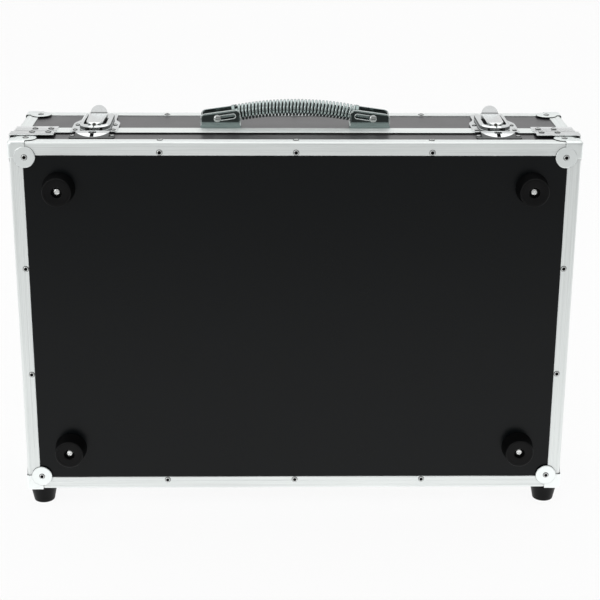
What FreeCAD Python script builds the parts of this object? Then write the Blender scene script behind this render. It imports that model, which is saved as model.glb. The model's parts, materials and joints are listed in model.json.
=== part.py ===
import FreeCAD, Part
import math
import os
import re
import Sketcher
from FreeCAD import Placement, Rotation, Vector

# A guitar pedal case standing on its hinge side, as it does in the photograph.
# X runs along the case, +Y from the pedal board's underside towards the lid, +Z up.
# Sizes are in millimetres and degrees. "Case coordinates" below have their origin at the
# bottom front edge of the closed case, midway along it, and place() moves them to the
# part's own origin, which is under the middle of the whole object on the floor.

doc = FreeCAD.newDocument("PedalCase")
sheet = doc.addObject("Spreadsheet::Sheet", "Sizes")

sizes = {
    # closed case and its skin
    "case_width": 600,
    "case_height": 400,
    "case_depth": 145,
    "base_depth": 40,
    "split_gap": 1.4,
    "panel_thickness": 5,
    "wall_thickness": 6,
    "overrun": 1,
    # edge profiles, posts and the tongue and groove at the split
    "profile_leg": 14.3,
    "profile_thickness": 1.2,
    "profile_round": 3,
    "closing_width": 27,
    "closing_return": 12,
    "tongue_root": 16,
    "tongue_reach": 6,
    "tongue_thickness": 1.5,
    "tongue_fit": 0.5,
    # small round pieces have flat sides, so that the whole stays light
    "turned_sides": 12,
    "screw_sides": 8,
    # rivets
    "rivet_radius": 3,
    "rivet_height": 1.1,
    "rivet_top_radius": 1.6,
    "rivet_sides": 6,
    "rivet_inset": 11,
    "edge_rivet_pitch": 143,
    "side_rivet_pitch": 122,
    # corner caps
    "cap_inset": 16,
    "cap_disc_radius": 11.5,
    "cap_square": 17,
    "cap_thickness": 1.2,
    "cap_bevel": 1.4,
    # corner braces of the closing profile
    "brace_reach": 44,
    "brace_thickness": 1.2,
    "brace_back": 28,
    "brace_lip": 17,
    "brace_lip_rise": 1.7,
    "brace_bend": 2.5,
    "brace_rivet_first": 20,
    "brace_rivet_pitch": 17,
    "brace_rivet_front": 4.5,
    "brace_rivet_back": 20.5,
    # feet under the pedal board
    "board_foot_inset": 50,
    "board_foot_height": 19,
    "board_foot_radius": 17.5,
    "board_foot_tip_radius": 15.3,
    "board_foot_round": 2,
    "foot_recess_radius": 5.8,
    "foot_recess_floor": 6,
    "foot_bore_radius": 2.6,
    # feet that the case stands on
    "stand_foot_height": 20,
    "stand_foot_top_radius": 13.8,
    "stand_foot_tip_radius": 10.8,
    "stand_foot_round": 2,
    # foot screws
    "screw_shank_radius": 2.4,
    "screw_head_radius": 4.6,
    "screw_head_height": 2.8,
    "screw_head_edge_share": 0.5,
    "head_top_share": 0.5,
    "screw_grip": 4,
    "screw_end_gap": 0.5,
    # hinges
    "hinge_inset": 100,
    "hinge_length": 60,
    "hinge_leaf_width": 22,
    "hinge_leaf_thickness": 1.6,
    "hinge_knuckle_radius": 3.4,
    "hinge_pin_radius": 1.5,
    "hinge_pin_fit": 0.05,
    "hinge_gap": 0.3,
    "hinge_knuckles": 3,
    "hinge_rivet_pitch": 20,
    "hinge_drop": 3.8,
    # latches
    "latch_inset": 84,
    "latch_front": 4.2,
    "latch_front_half_width": 25,
    "latch_shoulder": 42,
    "latch_waist": 56,
    "latch_rear_half_width": 19,
    "latch_end_gap": 2,
    "latch_plate_thickness": 1.4,
    "latch_corner": 3,
    "latch_rivet_half_pitch": 20.4,
    "latch_rivet_front": 8.3,
    "latch_rivet_back": 31.3,
    "rim_radius": 16.5,
    "rim_wall": 4.2,
    "rim_height": 6.6,
    "rim_front": 1.3,
    "rim_length": 63,
    "rim_bevel": 1.6,
    "rim_window_half_width": 9,
    "rim_window_height": 3,
    "key_slot_half_width": 0.8,
    # lever, which turns in the rim on two short pins
    "lever_pivot_back": 12.6,
    "lever_pivot_height": 5.2,
    "lever_barrel_radius": 3.6,
    "lever_front_half_width": 9.1,
    "lever_rear_half_width": 10,
    "lever_length": 46.7,
    "lever_thickness": 1.8,
    "lever_flange_thickness": 1,
    "lever_flange_bottom": 3,
    "lever_flange_back": 5,
    "tab_radius": 9.2,
    "tab_thickness": 1.6,
    "tab_angle": 62,
    "pivot_radius": 1.2,
    "pivot_fit": 0.05,
    "pivot_inner": 5,
    "pivot_outer": 14.3,
    # key plug in the lever's rounded front
    "plug_radius": 1.8,
    "plug_depth": 2.4,
    "plug_recess": 0.4,
    "plug_angle": 28,
    "plug_fit": 0.05,
    "keyway_width": 0.7,
    "keyway_length": 2.6,
    "keyway_depth": 0.9,
    # claw that the lever slides forward, and its strike on the base
    "claw_half_width": 5.5,
    "claw_thickness": 1,
    "claw_lift": 0.3,
    "claw_fit": 0.3,
    "claw_engagement": 3.2,
    "claw_back": 16,
    "claw_tooth_half_width": 3,
    "claw_tooth_length": 1.2,
    "claw_tooth_height": 0.2,
    "strike_half_width": 24,
    "strike_front": 20,
    "strike_hood_front": 21,
    "strike_rear": 39.2,
    "strike_hood_half_width": 18,
    "strike_hood_height": 4.4,
    "strike_thickness": 1,
    "strike_strip": 3.4,
    "strike_flange_rear": 37,
    "strike_corner": 2.5,
    "small_rivet_radius": 2.4,
    "strike_hole_half_width": 4,
    "strike_stem_half_width": 2,
    "strike_hole_front": 24,
    "strike_hole_neck": 31,
    "strike_hole_rear": 36.4,
    # handle
    "handle_mid_height": 19.9,
    "handle_arch_radius": 340,
    "spring_half_span": 63.5,
    "spring_radius": 9.25,
    "spring_wire": 1.7,
    "spring_turns": 34,
    "spring_sides": 4,
    "core_radius": 5.4,
    "core_sides": 8,
    "spigot_length": 12,
    "spigot_gap": 0.3,
    "collar_radius": 9.4,
    "collar_length": 3.4,
    "collar_gap": 0.3,
    "strap_thickness": 5,
    "strap_half_width": 6.8,
    "eye_radius": 4.6,
    "handle_pin_place": 84.5,
    "handle_pin_radius": 2.1,
    "handle_pin_fit": 0.05,
    "handle_pin_head_radius": 4.4,
    "handle_pin_head_height": 2,
    "pin_head_edge_share": 0.25,
    "handle_pin_side_gap": 0.2,
    "bracket_inner": 59,
    "bracket_length": 44,
    "bracket_half_depth": 12.4,
    "bracket_gap": 0.4,
    "bracket_base_height": 4.2,
    "bracket_bevel": 1.4,
    "bracket_rivet_inner": 14.7,
    "bracket_rivet_outer": 36.7,
    "ear_half_gap": 9.9,
    "ear_thickness": 1.9,
    "ear_outer_height": 14.5,
    "ear_inner_height": 20.4,
    "ear_outer_round": 5,
    "ear_inner_round": 8,
    "slot_fit": 0.2,
    "slot_travel": 17.5,
    "slot_slope": 8.5,
    # linings
    "carpet_thickness": 3,
    "foam_thickness": 25,
    "lining_gap": 1,
}

derived = {
    "half_width": "case_width / 2",
    "base_end": "base_depth - split_gap / 2",
    "lid_start": "base_depth + split_gap / 2",
    "skin": "profile_thickness + wall_thickness",
    "laminate_top": "case_height - profile_thickness",
    "board_foot_proud": "board_foot_height - profile_thickness",
    "rear_proud": "cap_thickness + rivet_height",
    "centre_y": "(case_depth + rear_proud - board_foot_proud) / 2",
    "tongue_drop": "profile_thickness + tongue_fit",
    "hinge_place": "half_width - hinge_inset",
    "latch_place": "half_width - latch_inset",
    "latch_start": "lid_start + latch_front - profile_thickness",
    "latch_length": "case_depth - profile_leg - latch_end_gap - latch_start",
    "rim_centre": "rim_front + rim_radius",
    "lever_top": "lever_pivot_height + lever_barrel_radius",
    "lever_rear": "lever_pivot_back + lever_length",
    "plug_inner": "lever_barrel_radius - plug_recess - plug_depth",
    "hood_run": "strike_rear - strike_hood_front",
    "hood_radius": "(hood_run ^ 2 + strike_hood_height ^ 2) / (2 * strike_hood_height)",
    "handle_y": "lid_start + closing_width + bracket_gap + bracket_half_depth",
    "arch_angle": "atan(spring_half_span / sqrt(handle_arch_radius ^ 2 - spring_half_span ^ 2)) / 1deg",
    "spring_end_height": "handle_mid_height - handle_arch_radius * (1 - cos(arch_angle))",
    "handle_pin_height": "spring_end_height - (handle_pin_place - spring_half_span) * tan(arch_angle)",
    "strap_length": "(handle_pin_place - spring_half_span) / cos(arch_angle)",
    "collar_end": "strap_length - spring_wire / 2 - collar_gap",
    "core_angle": "arch_angle - (spigot_length + spigot_gap) / handle_arch_radius * 180 / pi",
    "bracket_top": "bracket_base_height - profile_thickness",
    "slot_half_width": "handle_pin_radius + slot_fit",
    "knuckle_length": "hinge_length / hinge_knuckles",
}

for row, (alias, content) in enumerate(list(sizes.items()) + list(derived.items()), start=1):
    sheet.set(f"A{row}", alias)
    sheet.set(f"B{row}", f"={content}" if alias in derived else str(content))
    sheet.setAlias(f"B{row}", alias)
doc.recompute()

aliases = set(sizes) | set(derived)


def num(expression):
    """The value of an expression in the sheet's sizes, in millimetres or degrees."""
    return float(sheet.evalExpression(expression))


def bound(expression):
    """The same expression as another object of the document reads it."""
    return re.sub(r"[a-z_]+", lambda m: f"Sizes.{m[0]}" if m[0] in aliases else m[0], expression)


def bind(obj, prop, expression):
    obj.setExpression(prop, bound(expression))


def place(obj, x, y, z, rotation=Rotation()):
    """Puts an object's own origin at a point given in case coordinates."""
    obj.Placement = Placement(Vector(), rotation)
    bind(obj, "Placement.Base.x", x)
    bind(obj, "Placement.Base.y", f"{y} - centre_y")
    bind(obj, "Placement.Base.z", f"{z} + stand_foot_height")


def spot(x, y, z):
    """A point given in case coordinates, in the part's own frame."""
    return Vector(num(x), num(f"{y} - centre_y"), num(f"{z} + stand_foot_height"))


exported = []


def add(kind, label, keep=True):
    obj = doc.addObject(kind, label)
    obj.Label = label
    if keep:
        exported.append(obj)
    return obj


def block(label, x, y, z, length, width, height, keep=True):
    """A plain box from its lowest corner, in case coordinates."""
    box = add("Part::Box", label, keep)
    bind(box, "Length", length)
    bind(box, "Width", width)
    bind(box, "Height", height)
    place(box, x, y, z)
    return box


def solid(label, shape, at=Vector()):
    """A piece whose shape is worked out here from the sheet."""
    obj = add("Part::Feature", label)
    obj.Shape = shape
    obj.Placement = Placement(at, Rotation())
    return obj


def group(label, members):
    """Several like solids that share one node."""
    together = add("Part::Compound", label)
    together.Links = members
    return together


def faceted(profile, sides, hollow=False):
    """A turned form with flat sides, from pairs of radius and height up its own Z axis.

    A hollow form's profile runs round its section, and the last pair joins the first.
    """
    rings = []
    for radius, height in profile:
        angles = [2 * math.pi * step / sides for step in range(sides)]
        rings.append([Vector(radius * math.cos(a), radius * math.sin(a), height) for a in angles])
    faces = []
    for number, ring in enumerate(rings if hollow else rings[1:]):
        before = rings[number - 1] if hollow else rings[number]
        for step in range(sides):
            after = (step + 1) % sides
            quad = [before[step], before[after], ring[after], ring[step]]
            faces.append(Part.Face(Part.makePolygon(quad + quad[:1])))
    if not hollow:
        faces += [Part.Face(Part.makePolygon(ring + ring[:1])) for ring in (rings[0], rings[-1])]
    form = Part.makeSolid(Part.makeShell(faces))
    if form.Volume < 0:
        form.reverse()
    return form.removeSplitter()


def bar(label, radius, length, clear=False):
    """A straight flat-sided bar up its own Z axis, inside a circle or, to clear a pin, round it."""
    rod = add("Part::Prism", label, keep=False)
    rod.Polygon = round(num("turned_sides"))
    bind(rod, "Circumradius", f"({radius}) / cos(180 / turned_sides)" if clear else radius)
    bind(rod, "Height", length)
    return rod


def drilled(obj, label, drills, keep=True):
    """The same piece with bores through it."""
    tools = add("Part::MultiFuse", f"{label}_drills", keep=False)
    tools.Shapes = drills
    whole = add("Part::Cut", label, keep)
    whole.Base = obj
    whole.Tool = tools
    return whole


def stand_foot_drills(label, y):
    """The bores of a half's two stand-foot screws, upwards from the corner caps."""
    drills = []
    for x in ("-half_width + cap_inset", "half_width - cap_inset"):
        drill = bar(f"{label}_drill", "foot_bore_radius", "screw_grip + screw_end_gap")
        place(drill, x, y, "-cap_thickness")
        drills.append(drill)
    return drills


# Sketches and features of a body


def sketch(body, role, height="0"):
    plane = [f for f in body.Origin.OriginFeatures if f.Role == role][0]
    drawn = body.newObject("Sketcher::SketchObject", "Outline")
    drawn.AttachmentSupport = [(plane, "")]
    drawn.MapMode = "FlatFace"
    if height != "0":
        bind(drawn, "AttachmentOffset.Base.z", height)
    return drawn


def pin_point(drawn, geometry, position, x, y):
    for kind, expression in (("DistanceX", x), ("DistanceY", y)):
        index = drawn.addConstraint(Sketcher.Constraint(kind, geometry, position, num(expression)))
        bind(drawn, f"Constraints[{index}]", expression)


def polygon(drawn, points):
    """A closed outline through points given as pairs of expressions."""
    first = drawn.GeometryCount
    corners = [Vector(num(x), num(y), 0) for x, y in points]
    for index, corner in enumerate(corners):
        drawn.addGeometry(Part.LineSegment(corner, corners[(index + 1) % len(corners)]))
    for index, (x, y) in enumerate(points):
        following = first + (index + 1) % len(points)
        drawn.addConstraint(Sketcher.Constraint("Coincident", first + index, 2, following, 1))
        pin_point(drawn, first + index, 1, x, y)


def circle(drawn, x, y, radius):
    geometry = drawn.addGeometry(Part.Circle(Vector(num(x), num(y), 0), Vector(0, 0, 1), num(radius)))
    pin_point(drawn, geometry, 3, x, y)
    index = drawn.addConstraint(Sketcher.Constraint("Radius", geometry, num(radius)))
    bind(drawn, f"Constraints[{index}]", radius)


def ring(drawn, x, y, radius, clear=False):
    """A regular outline inside a circle or, where it has to clear a pin, round the circle."""
    count = round(num("turned_sides"))
    reach = f"({radius}) / cos(180 / turned_sides)" if clear else f"({radius})"
    turns = [360 * step / count for step in range(count)]
    polygon(drawn, [(f"{x} + {reach} * cos({turn})", f"{y} + {reach} * sin({turn})") for turn in turns])


def pad(body, drawn, length, symmetric=False, backwards=False):
    feature = body.newObject("PartDesign::Pad", "Pad")
    feature.Profile = drawn
    bind(feature, "Length", length)
    feature.SideType = "Symmetric" if symmetric else "One side"
    feature.Reversed = backwards
    doc.recompute()
    return feature


def pocket(body, drawn, depth=None, symmetric=False, backwards=False):
    before = body.Shape.Volume
    feature = body.newObject("PartDesign::Pocket", "Pocket")
    feature.Profile = drawn
    if depth is None:
        feature.Type = "ThroughAll"
    else:
        bind(feature, "Length", depth)
    feature.SideType = "Symmetric" if symmetric else "One side"
    feature.Reversed = backwards
    doc.recompute()
    if body.Shape.Volume >= before:
        raise RuntimeError(f"a pocket of {body.Label} cuts nothing")
    return feature


def soften(body, kind, size, amount, wanted):
    """Takes off the edges of a body that pass a test."""
    base = body.Tip
    names = [f"Edge{i}" for i, e in enumerate(base.Shape.Edges, start=1) if wanted(e)]
    if not names:
        raise RuntimeError(f"no edge of {body.Label} to soften")
    feature = body.newObject(f"PartDesign::{kind}", kind)
    feature.Base = (base, names)
    bind(feature, size, amount)
    doc.recompute()
    return feature


def round_edges(body, radius, wanted):
    soften(body, "Fillet", "Radius", radius, wanted)


def bevel_edges(body, width, wanted):
    soften(body, "Chamfer", "Size", width, wanted)


nearly_one = 0.999
touching = 0.01


def straight_along(edge, axis):
    if not isinstance(edge.Curve, Part.Line):
        return False
    return abs(edge.tangentAt(edge.FirstParameter).dot(axis)) > nearly_one


def near(value, expression):
    return abs(value - num(expression)) < touching


axis_x = Vector(1, 0, 0)
axis_y = Vector(0, 1, 0)
axis_z = Vector(0, 0, 1)
half_turn = Rotation(axis_z, 180)


def about_y(angle):
    return Rotation(axis_y, angle)


# Each side of a loop round the case: the name, the corner line's X and Z in the middle of the
# side, the length of the side and the turn about Y that takes the top side there.
sides = (
    ("top", "0", "case_height", "case_width", 0),
    ("bottom", "0", "0", "case_width", 180),
    ("left", "-half_width", "case_height / 2", "case_height", -90),
    ("right", "half_width", "case_height / 2", "case_height", 90),
)


def mitred_length(label, outline, run, depth, keep=True):
    """A length of extrusion along X, cut at 45 degrees at both ends, with z = 0 outermost."""
    body = add("PartDesign::Body", label, keep)
    section = sketch(body, "YZ_Plane")
    polygon(section, outline)
    pad(body, section, run, symmetric=True)
    mitres = sketch(body, "XZ_Plane")
    for way in ("", "-"):
        polygon(mitres, [
            (f"{way}({run}) / 2", "0"),
            (f"{way}({run}) / 2", f"-({depth})"),
            (f"{way}(({run}) / 2 - ({depth}))", f"-({depth})"),
        ])
    pocket(body, mitres, symmetric=True)
    return body


def round_outer_corner(body):
    round_edges(body, "profile_round", lambda e: (
        straight_along(e, axis_x)
        and near(e.CenterOfMass.y, "0")
        and near(e.CenterOfMass.z, "0")
    ))


def edge_profiles(half, y, rotation, foot_y):
    """The four aluminium angles round a large face, mitred at the corners."""
    angle = [
        ("0", "0"),
        ("profile_leg", "0"),
        ("profile_leg", "-profile_thickness"),
        ("profile_thickness", "-profile_thickness"),
        ("profile_thickness", "-profile_leg"),
        ("0", "-profile_leg"),
    ]
    for name, x, z, run, quarter in sides:
        at_feet = name == "bottom"
        label = f"{half}_edge_{name}"
        body = mitred_length(f"{label}_length" if at_feet else label, angle, run, "profile_leg + overrun",
                             keep=not at_feet)
        round_outer_corner(body)
        place(body, x, y, z, about_y(quarter) * rotation)
        if at_feet:
            drilled(body, label, stand_foot_drills(label, foot_y))


def post_profiles(half, start, end, foot_y):
    """The four short aluminium angles that run from front to back along the case's corners."""
    corners = (
        ("half_width", "case_height", 0),
        ("half_width", "0", 90),
        ("-half_width", "0", 180),
        ("-half_width", "case_height", -90),
    )
    posts = []
    for number, (x, z, quarter) in enumerate(corners, start=1):
        body = add("PartDesign::Body", f"{half}_post_{number}", keep=False)
        section = sketch(body, "YZ_Plane")
        polygon(section, [
            ("0", "0"),
            ("profile_leg", "0"),
            ("profile_leg", "-profile_thickness"),
            ("profile_thickness", "-profile_thickness"),
            ("profile_thickness", "-profile_leg"),
            ("0", "-profile_leg"),
        ])
        pad(body, section, f"{end} - ({start})")
        round_outer_corner(body)
        place(body, x, start, z, about_y(quarter) * Rotation(axis_z, 90))
        if z == "0":
            body = drilled(body, f"{half}_post_{number}_drilled", stand_foot_drills(half, foot_y), keep=False)
        posts.append(body)
    group(f"{half}_post_profiles", posts)


def walls(half, start, end, foot_y):
    """The four laminated plywood strips of a half, the side ones between the other two."""
    depth = f"{end} - ({start})"
    inner_width = "case_width - 2 * profile_thickness"
    inner_height = "case_height - 2 * skin"
    block(f"{half}_wall_top", "-half_width + profile_thickness", start, "case_height - skin",
          inner_width, depth, "wall_thickness")
    label = f"{half}_wall_bottom"
    strip = block(f"{label}_strip", "-half_width + profile_thickness", start, "profile_thickness",
                  inner_width, depth, "wall_thickness", keep=False)
    drilled(strip, label, stand_foot_drills(label, foot_y))
    block(f"{half}_wall_left", "-half_width + profile_thickness", start, "skin",
          "wall_thickness", depth, inner_height)
    block(f"{half}_wall_right", "half_width - skin", start, "skin",
          "wall_thickness", depth, inner_height)


def rivet(at, outwards, radius="rivet_radius"):
    """A low rivet head standing on a surface, narrower at its top."""
    foot = num(radius)
    top = foot * num("rivet_top_radius / rivet_radius")
    head = faceted([(foot, 0), (top, num("rivet_height"))], round(num("rivet_sides")))
    head.Placement = Placement(at, Rotation(axis_z, outwards))
    return head


def edge_rivet_places(outer, near_face):
    """Rivets along the edge profiles: on the large face, and on the narrow sides beside it."""
    places = []
    across = ("-edge_rivet_pitch", "0", "edge_rivet_pitch")
    up = ("case_height / 2 - side_rivet_pitch / 2", "case_height / 2 + side_rivet_pitch / 2")
    facing = Vector(0, -1 if near_face == "rivet_inset" else 1, 0)
    for x in across:
        places.append((spot(x, outer, "case_height - rivet_inset"), facing))
        places.append((spot(x, outer, "rivet_inset"), facing))
        places.append((spot(x, near_face, "case_height"), axis_z))
        places.append((spot(x, near_face, "0"), -axis_z))
    for z in up:
        places.append((spot("-half_width + rivet_inset", outer, z), facing))
        places.append((spot("half_width - rivet_inset", outer, z), facing))
        places.append((spot("-half_width", near_face, z), -axis_x))
        places.append((spot("half_width", near_face, z), axis_x))
    return places


def cap_rivet_places(front, inset):
    """One rivet in each leaf of the corner caps; the bottom leaves take the stand feet's screws."""
    places = []
    facing = Vector(0, -1 if front == "-cap_thickness" else 1, 0)
    for side, out in (("-", -axis_x), ("", axis_x)):
        x_face = f"{side}(half_width + cap_thickness)"
        x_in = f"{side}(half_width - cap_inset)"
        for z_in in ("cap_inset", "case_height - cap_inset"):
            places.append((spot(x_in, front, z_in), facing))
            places.append((spot(x_face, inset, z_in), out))
        places.append((spot(x_in, inset, "case_height + cap_thickness"), axis_z))
    return places


def corner_caps(half, y, foot_y, backwards):
    """Three leaves, each a square corner with a round end, bent over a corner of the case."""
    t = num("cap_thickness")
    square = num("cap_square")
    inset = num("cap_inset")
    radius = num("cap_disc_radius")
    wide = 2 * (inset + radius)
    outer = Part.makeBox(wide, wide, wide, Vector(-t, -t, -wide + t))
    corner = Vector(-t, -t, t)
    at_corner = [e for e in outer.Edges if min(v.Point.distanceToPoint(corner) for v in e.Vertexes) < t]
    outer = outer.makeChamfer(num("cap_bevel"), at_corner)
    shell = outer.cut(Part.makeBox(wide, wide, wide, Vector(0, 0, -wide)))
    deep = t + num("cap_bevel")
    leaf = Part.makeBox(square + t, square + t, deep, Vector(-t, -t, t - deep))
    disc = faceted([(radius, t - deep), (radius, t)], round(num("turned_sides")))
    disc.translate(Vector(inset, inset, 0))
    leaf = leaf.fuse(disc)
    leaves = [leaf, leaf.copy(), leaf.copy()]
    leaves[1].rotate(Vector(), Vector(1, 1, -1), 120)
    leaves[2].rotate(Vector(), Vector(1, 1, -1), 240)
    cap = shell.common(leaf.fuse(leaves[1:])).removeSplitter()
    copies = []
    for x, z, quarter in (("-half_width", "case_height", 0), ("half_width", "case_height", 90),
                          ("half_width", "0", 180), ("-half_width", "0", 270)):
        copy = cap.copy()
        if backwards:
            copy = copy.mirror(Vector(), axis_y)
        copy.Placement = Placement(spot(x, y, z), about_y(quarter)) * copy.Placement
        if z == "0":
            foot_x = x.replace("half_width", "(half_width - cap_inset)")
            bore = num("foot_bore_radius")
            drill = faceted([(bore, -t), (bore, deep)], round(num("turned_sides")))
            drill.Placement = Placement(spot(foot_x, foot_y, "0"), Rotation())
            copy = copy.cut(drill)
        copies.append(copy)
    solid(f"{half}_corner_caps", Part.makeCompound(copies))


def round_foot(height, base_radius, tip_radius, edge_width):
    """A rubber foot seated at z = 0 and reaching down, with a screw recess in its tip."""
    high = num(height)
    base = num(base_radius)
    tip = num(tip_radius)
    edge = num(edge_width)
    bore = num("foot_bore_radius")
    recess = num("foot_recess_radius")
    floor = num("foot_recess_floor")
    shoulder = tip + (base - tip) * edge / high
    profile = [(bore, 0), (base, 0), (shoulder, edge - high), (tip - edge, -high), (recess, -high),
               (recess, -floor), (bore, -floor)]
    return faceted(profile, round(num("turned_sides")), hollow=True)


def foot_screw():
    """A pan-head screw through a foot into its wall."""
    shank = num("screw_shank_radius")
    head = num("screw_head_radius")
    floor = num("foot_recess_floor")
    top = head * num("head_top_share")
    edge = floor + num("screw_head_height * screw_head_edge_share")
    crown = floor + num("screw_head_height")
    profile = [(shank, num("screw_grip")), (shank, -floor), (head, -floor), (head, -edge), (top, -crown)]
    return faceted(profile, round(num("screw_sides")))


def fitted(label, form, places, rotation=Rotation()):
    """Copies of one form at several places, which share one node."""
    copies = []
    for at in places:
        copy = form.copy()
        copy.Placement = Placement(at, rotation)
        copies.append(copy)
    solid(label, Part.makeCompound(copies))


def hinge_leaf(label, first, leaf_top):
    """A leaf along X with its pin line on the local X axis, and every second knuckle cut away.

    The leaf lies towards +y, with its upper face at leaf_top, and is joggled down to the pin.
    """
    body = add("PartDesign::Body", label)
    section = sketch(body, "YZ_Plane")
    polygon(section, [
        ("0", "hinge_knuckle_radius"),
        ("0", "hinge_knuckle_radius - hinge_leaf_thickness"),
        ("hinge_knuckle_radius + hinge_gap", "hinge_knuckle_radius - hinge_leaf_thickness"),
        ("hinge_knuckle_radius + hinge_gap + 2 * hinge_leaf_thickness", f"{leaf_top} - hinge_leaf_thickness"),
        ("hinge_leaf_width", f"{leaf_top} - hinge_leaf_thickness"),
        ("hinge_leaf_width", leaf_top),
        ("hinge_knuckle_radius + hinge_gap + hinge_leaf_thickness", leaf_top),
        ("hinge_knuckle_radius + hinge_gap - hinge_leaf_thickness / 2", "hinge_knuckle_radius"),
    ])
    pad(body, section, "hinge_length", symmetric=True)
    barrel = sketch(body, "YZ_Plane")
    ring(barrel, "0", "0", "hinge_knuckle_radius")
    pad(body, barrel, "hinge_length", symmetric=True)
    bore = sketch(body, "YZ_Plane")
    ring(bore, "0", "0", "hinge_pin_radius + hinge_pin_fit", clear=True)
    pocket(body, bore, symmetric=True)
    gaps = sketch(body, "XY_Plane")
    for number in range(first, round(num("hinge_knuckles")), 2):
        low = f"-hinge_length / 2 + {number} * knuckle_length - hinge_gap / 2"
        high = f"-hinge_length / 2 + {number + 1} * knuckle_length + hinge_gap / 2"
        polygon(gaps, [
            (low, "-hinge_knuckle_radius - overrun"),
            (high, "-hinge_knuckle_radius - overrun"),
            (high, "hinge_knuckle_radius + hinge_gap"),
            (low, "hinge_knuckle_radius + hinge_gap"),
        ])
    pocket(body, gaps, symmetric=True)
    return body


# Base: the shallow half that carries the pedal board

board = block("base_panel_sheet", "-half_width + profile_thickness", "profile_thickness", "profile_thickness",
              "case_width - 2 * profile_thickness", "panel_thickness", "case_height - 2 * profile_thickness",
              keep=False)
board_drills = []
board_foot_places = []
for x in ("-half_width + board_foot_inset", "half_width - board_foot_inset"):
    for z in ("board_foot_inset", "case_height - board_foot_inset"):
        drill = bar("base_panel_drill", "foot_bore_radius", "screw_grip + screw_end_gap")
        place(drill, x, "profile_thickness", z, Rotation(axis_x, -90))
        board_drills.append(drill)
        board_foot_places.append(spot(x, "profile_thickness", z))
drilled(board, "base_panel", board_drills)

walls("base", "profile_thickness + panel_thickness", "base_end", "cap_inset")
edge_profiles("base", "0", Rotation(), "cap_inset")
post_profiles("base", "profile_leg", "base_end", "cap_inset")

tongues = []
for name, x, z, run, quarter in sides:
    tongue = mitred_length(f"base_tongue_{name}", [
        ("-tongue_root", "0"),
        ("-split_gap", "0"),
        ("-split_gap", "-tongue_drop"),
        ("tongue_reach", "-tongue_drop"),
        ("tongue_reach", "-tongue_drop - tongue_thickness"),
        ("-tongue_root", "-tongue_drop - tongue_thickness"),
    ], f"{run} - 2 * skin", "tongue_drop + tongue_thickness + overrun", keep=False)
    inward = {"top": ("x", "z - skin"), "bottom": ("x", "z + skin"),
              "left": ("x + skin", "z"), "right": ("x - skin", "z")}[name]
    place(tongue, inward[0].replace("x", x), "base_end", inward[1].replace("z", z, 1), about_y(quarter))
    tongues.append(tongue)
group("base_tongue_profiles", tongues)

corner_caps("base", "0", "cap_inset", False)

carpet_side = "skin + tongue_drop + tongue_thickness + lining_gap"
block("base_carpet", f"-half_width + {carpet_side}", "profile_thickness + panel_thickness", carpet_side,
      f"case_width - 2 * ({carpet_side})", "carpet_thickness", f"case_height - 2 * ({carpet_side})")

forwards = Rotation(axis_x, -90)
board_foot = round_foot("board_foot_height", "board_foot_radius", "board_foot_tip_radius", "board_foot_round")
stand_foot = round_foot("stand_foot_height - cap_thickness", "stand_foot_top_radius", "stand_foot_tip_radius",
                        "stand_foot_round")


def stand_foot_places(y):
    """Under a half's two bottom corners, on the caps."""
    return [spot(x, y, "-cap_thickness") for x in ("-half_width + cap_inset", "half_width - cap_inset")]


fitted("board_feet", board_foot, board_foot_places, forwards)
fitted("base_stand_feet", stand_foot, stand_foot_places("cap_inset"))
screws = []
for places, rotation in ((board_foot_places, forwards), (stand_foot_places("cap_inset"), Rotation())):
    for at in places:
        screw = foot_screw()
        screw.Placement = Placement(at, rotation)
        screws.append(screw)
solid("base_foot_screws", Part.makeCompound(screws))

# Lid: the deep half that closes over the pedals

block("lid_panel", "-half_width + profile_thickness", "case_depth - profile_thickness - panel_thickness",
      "profile_thickness", "case_width - 2 * profile_thickness", "panel_thickness",
      "case_height - 2 * profile_thickness")
walls("lid", "lid_start + profile_thickness", "case_depth - profile_thickness - panel_thickness",
      "case_depth - cap_inset")
edge_profiles("lid", "case_depth", half_turn, "case_depth - cap_inset")
post_profiles("lid", "lid_start + closing_width", "case_depth - profile_leg", "case_depth - cap_inset")

closing = []
for name, x, z, run, quarter in sides:
    length = mitred_length(f"lid_closing_{name}", [
        ("0", "0"),
        ("closing_width", "0"),
        ("closing_width", "-profile_thickness"),
        ("profile_thickness", "-profile_thickness"),
        ("profile_thickness", "-skin"),
        ("closing_return", "-skin"),
        ("closing_return", "-skin - profile_thickness"),
        ("0", "-skin - profile_thickness"),
    ], run, "skin + profile_thickness + overrun", keep=False)
    place(length, x, "lid_start", z, about_y(quarter))
    closing.append(length)
group("lid_closing_profiles", closing)

corner_caps("lid", "case_depth", "case_depth - cap_inset", True)


def corner_brace(lip):
    """One brace at the origin: a plate along +x and one down -z, mitred over the corner line.

    With a lip, both plates step outwards in front of y = 0 and reach over the base.
    """
    t = num("brace_thickness")
    back = num("brace_back")
    rise = num("brace_lip_rise")
    bend = num("brace_bend")
    reach = num("brace_reach")
    start = num("overrun") / 2
    if lip:
        front = -num("brace_lip")
        points = [(back, 0), (start, 0), (start - bend, rise), (front, rise), (front, rise + t),
                  (start - bend, rise + t), (start, t), (back, t)]
    else:
        points = [(back, 0), (start, 0), (start, t), (back, t)]
    far = rise + t
    ring = [Vector(-far, y, z) for y, z in points]
    plate = Part.Face(Part.makePolygon(ring + ring[:1])).extrude(Vector(far + reach, 0, 0))
    wedge = [Vector(0, -back, 0), Vector(-far, -back, far), Vector(-far - reach, -back, far),
             Vector(-far - reach, -back, 0)]
    cut = Part.Face(Part.makePolygon(wedge + wedge[:1])).extrude(Vector(0, 2 * back + reach, 0))
    plate = plate.cut(cut)
    other = plate.mirror(Vector(), Vector(1, 0, 1))
    return plate.fuse(other).removeSplitter()


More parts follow.
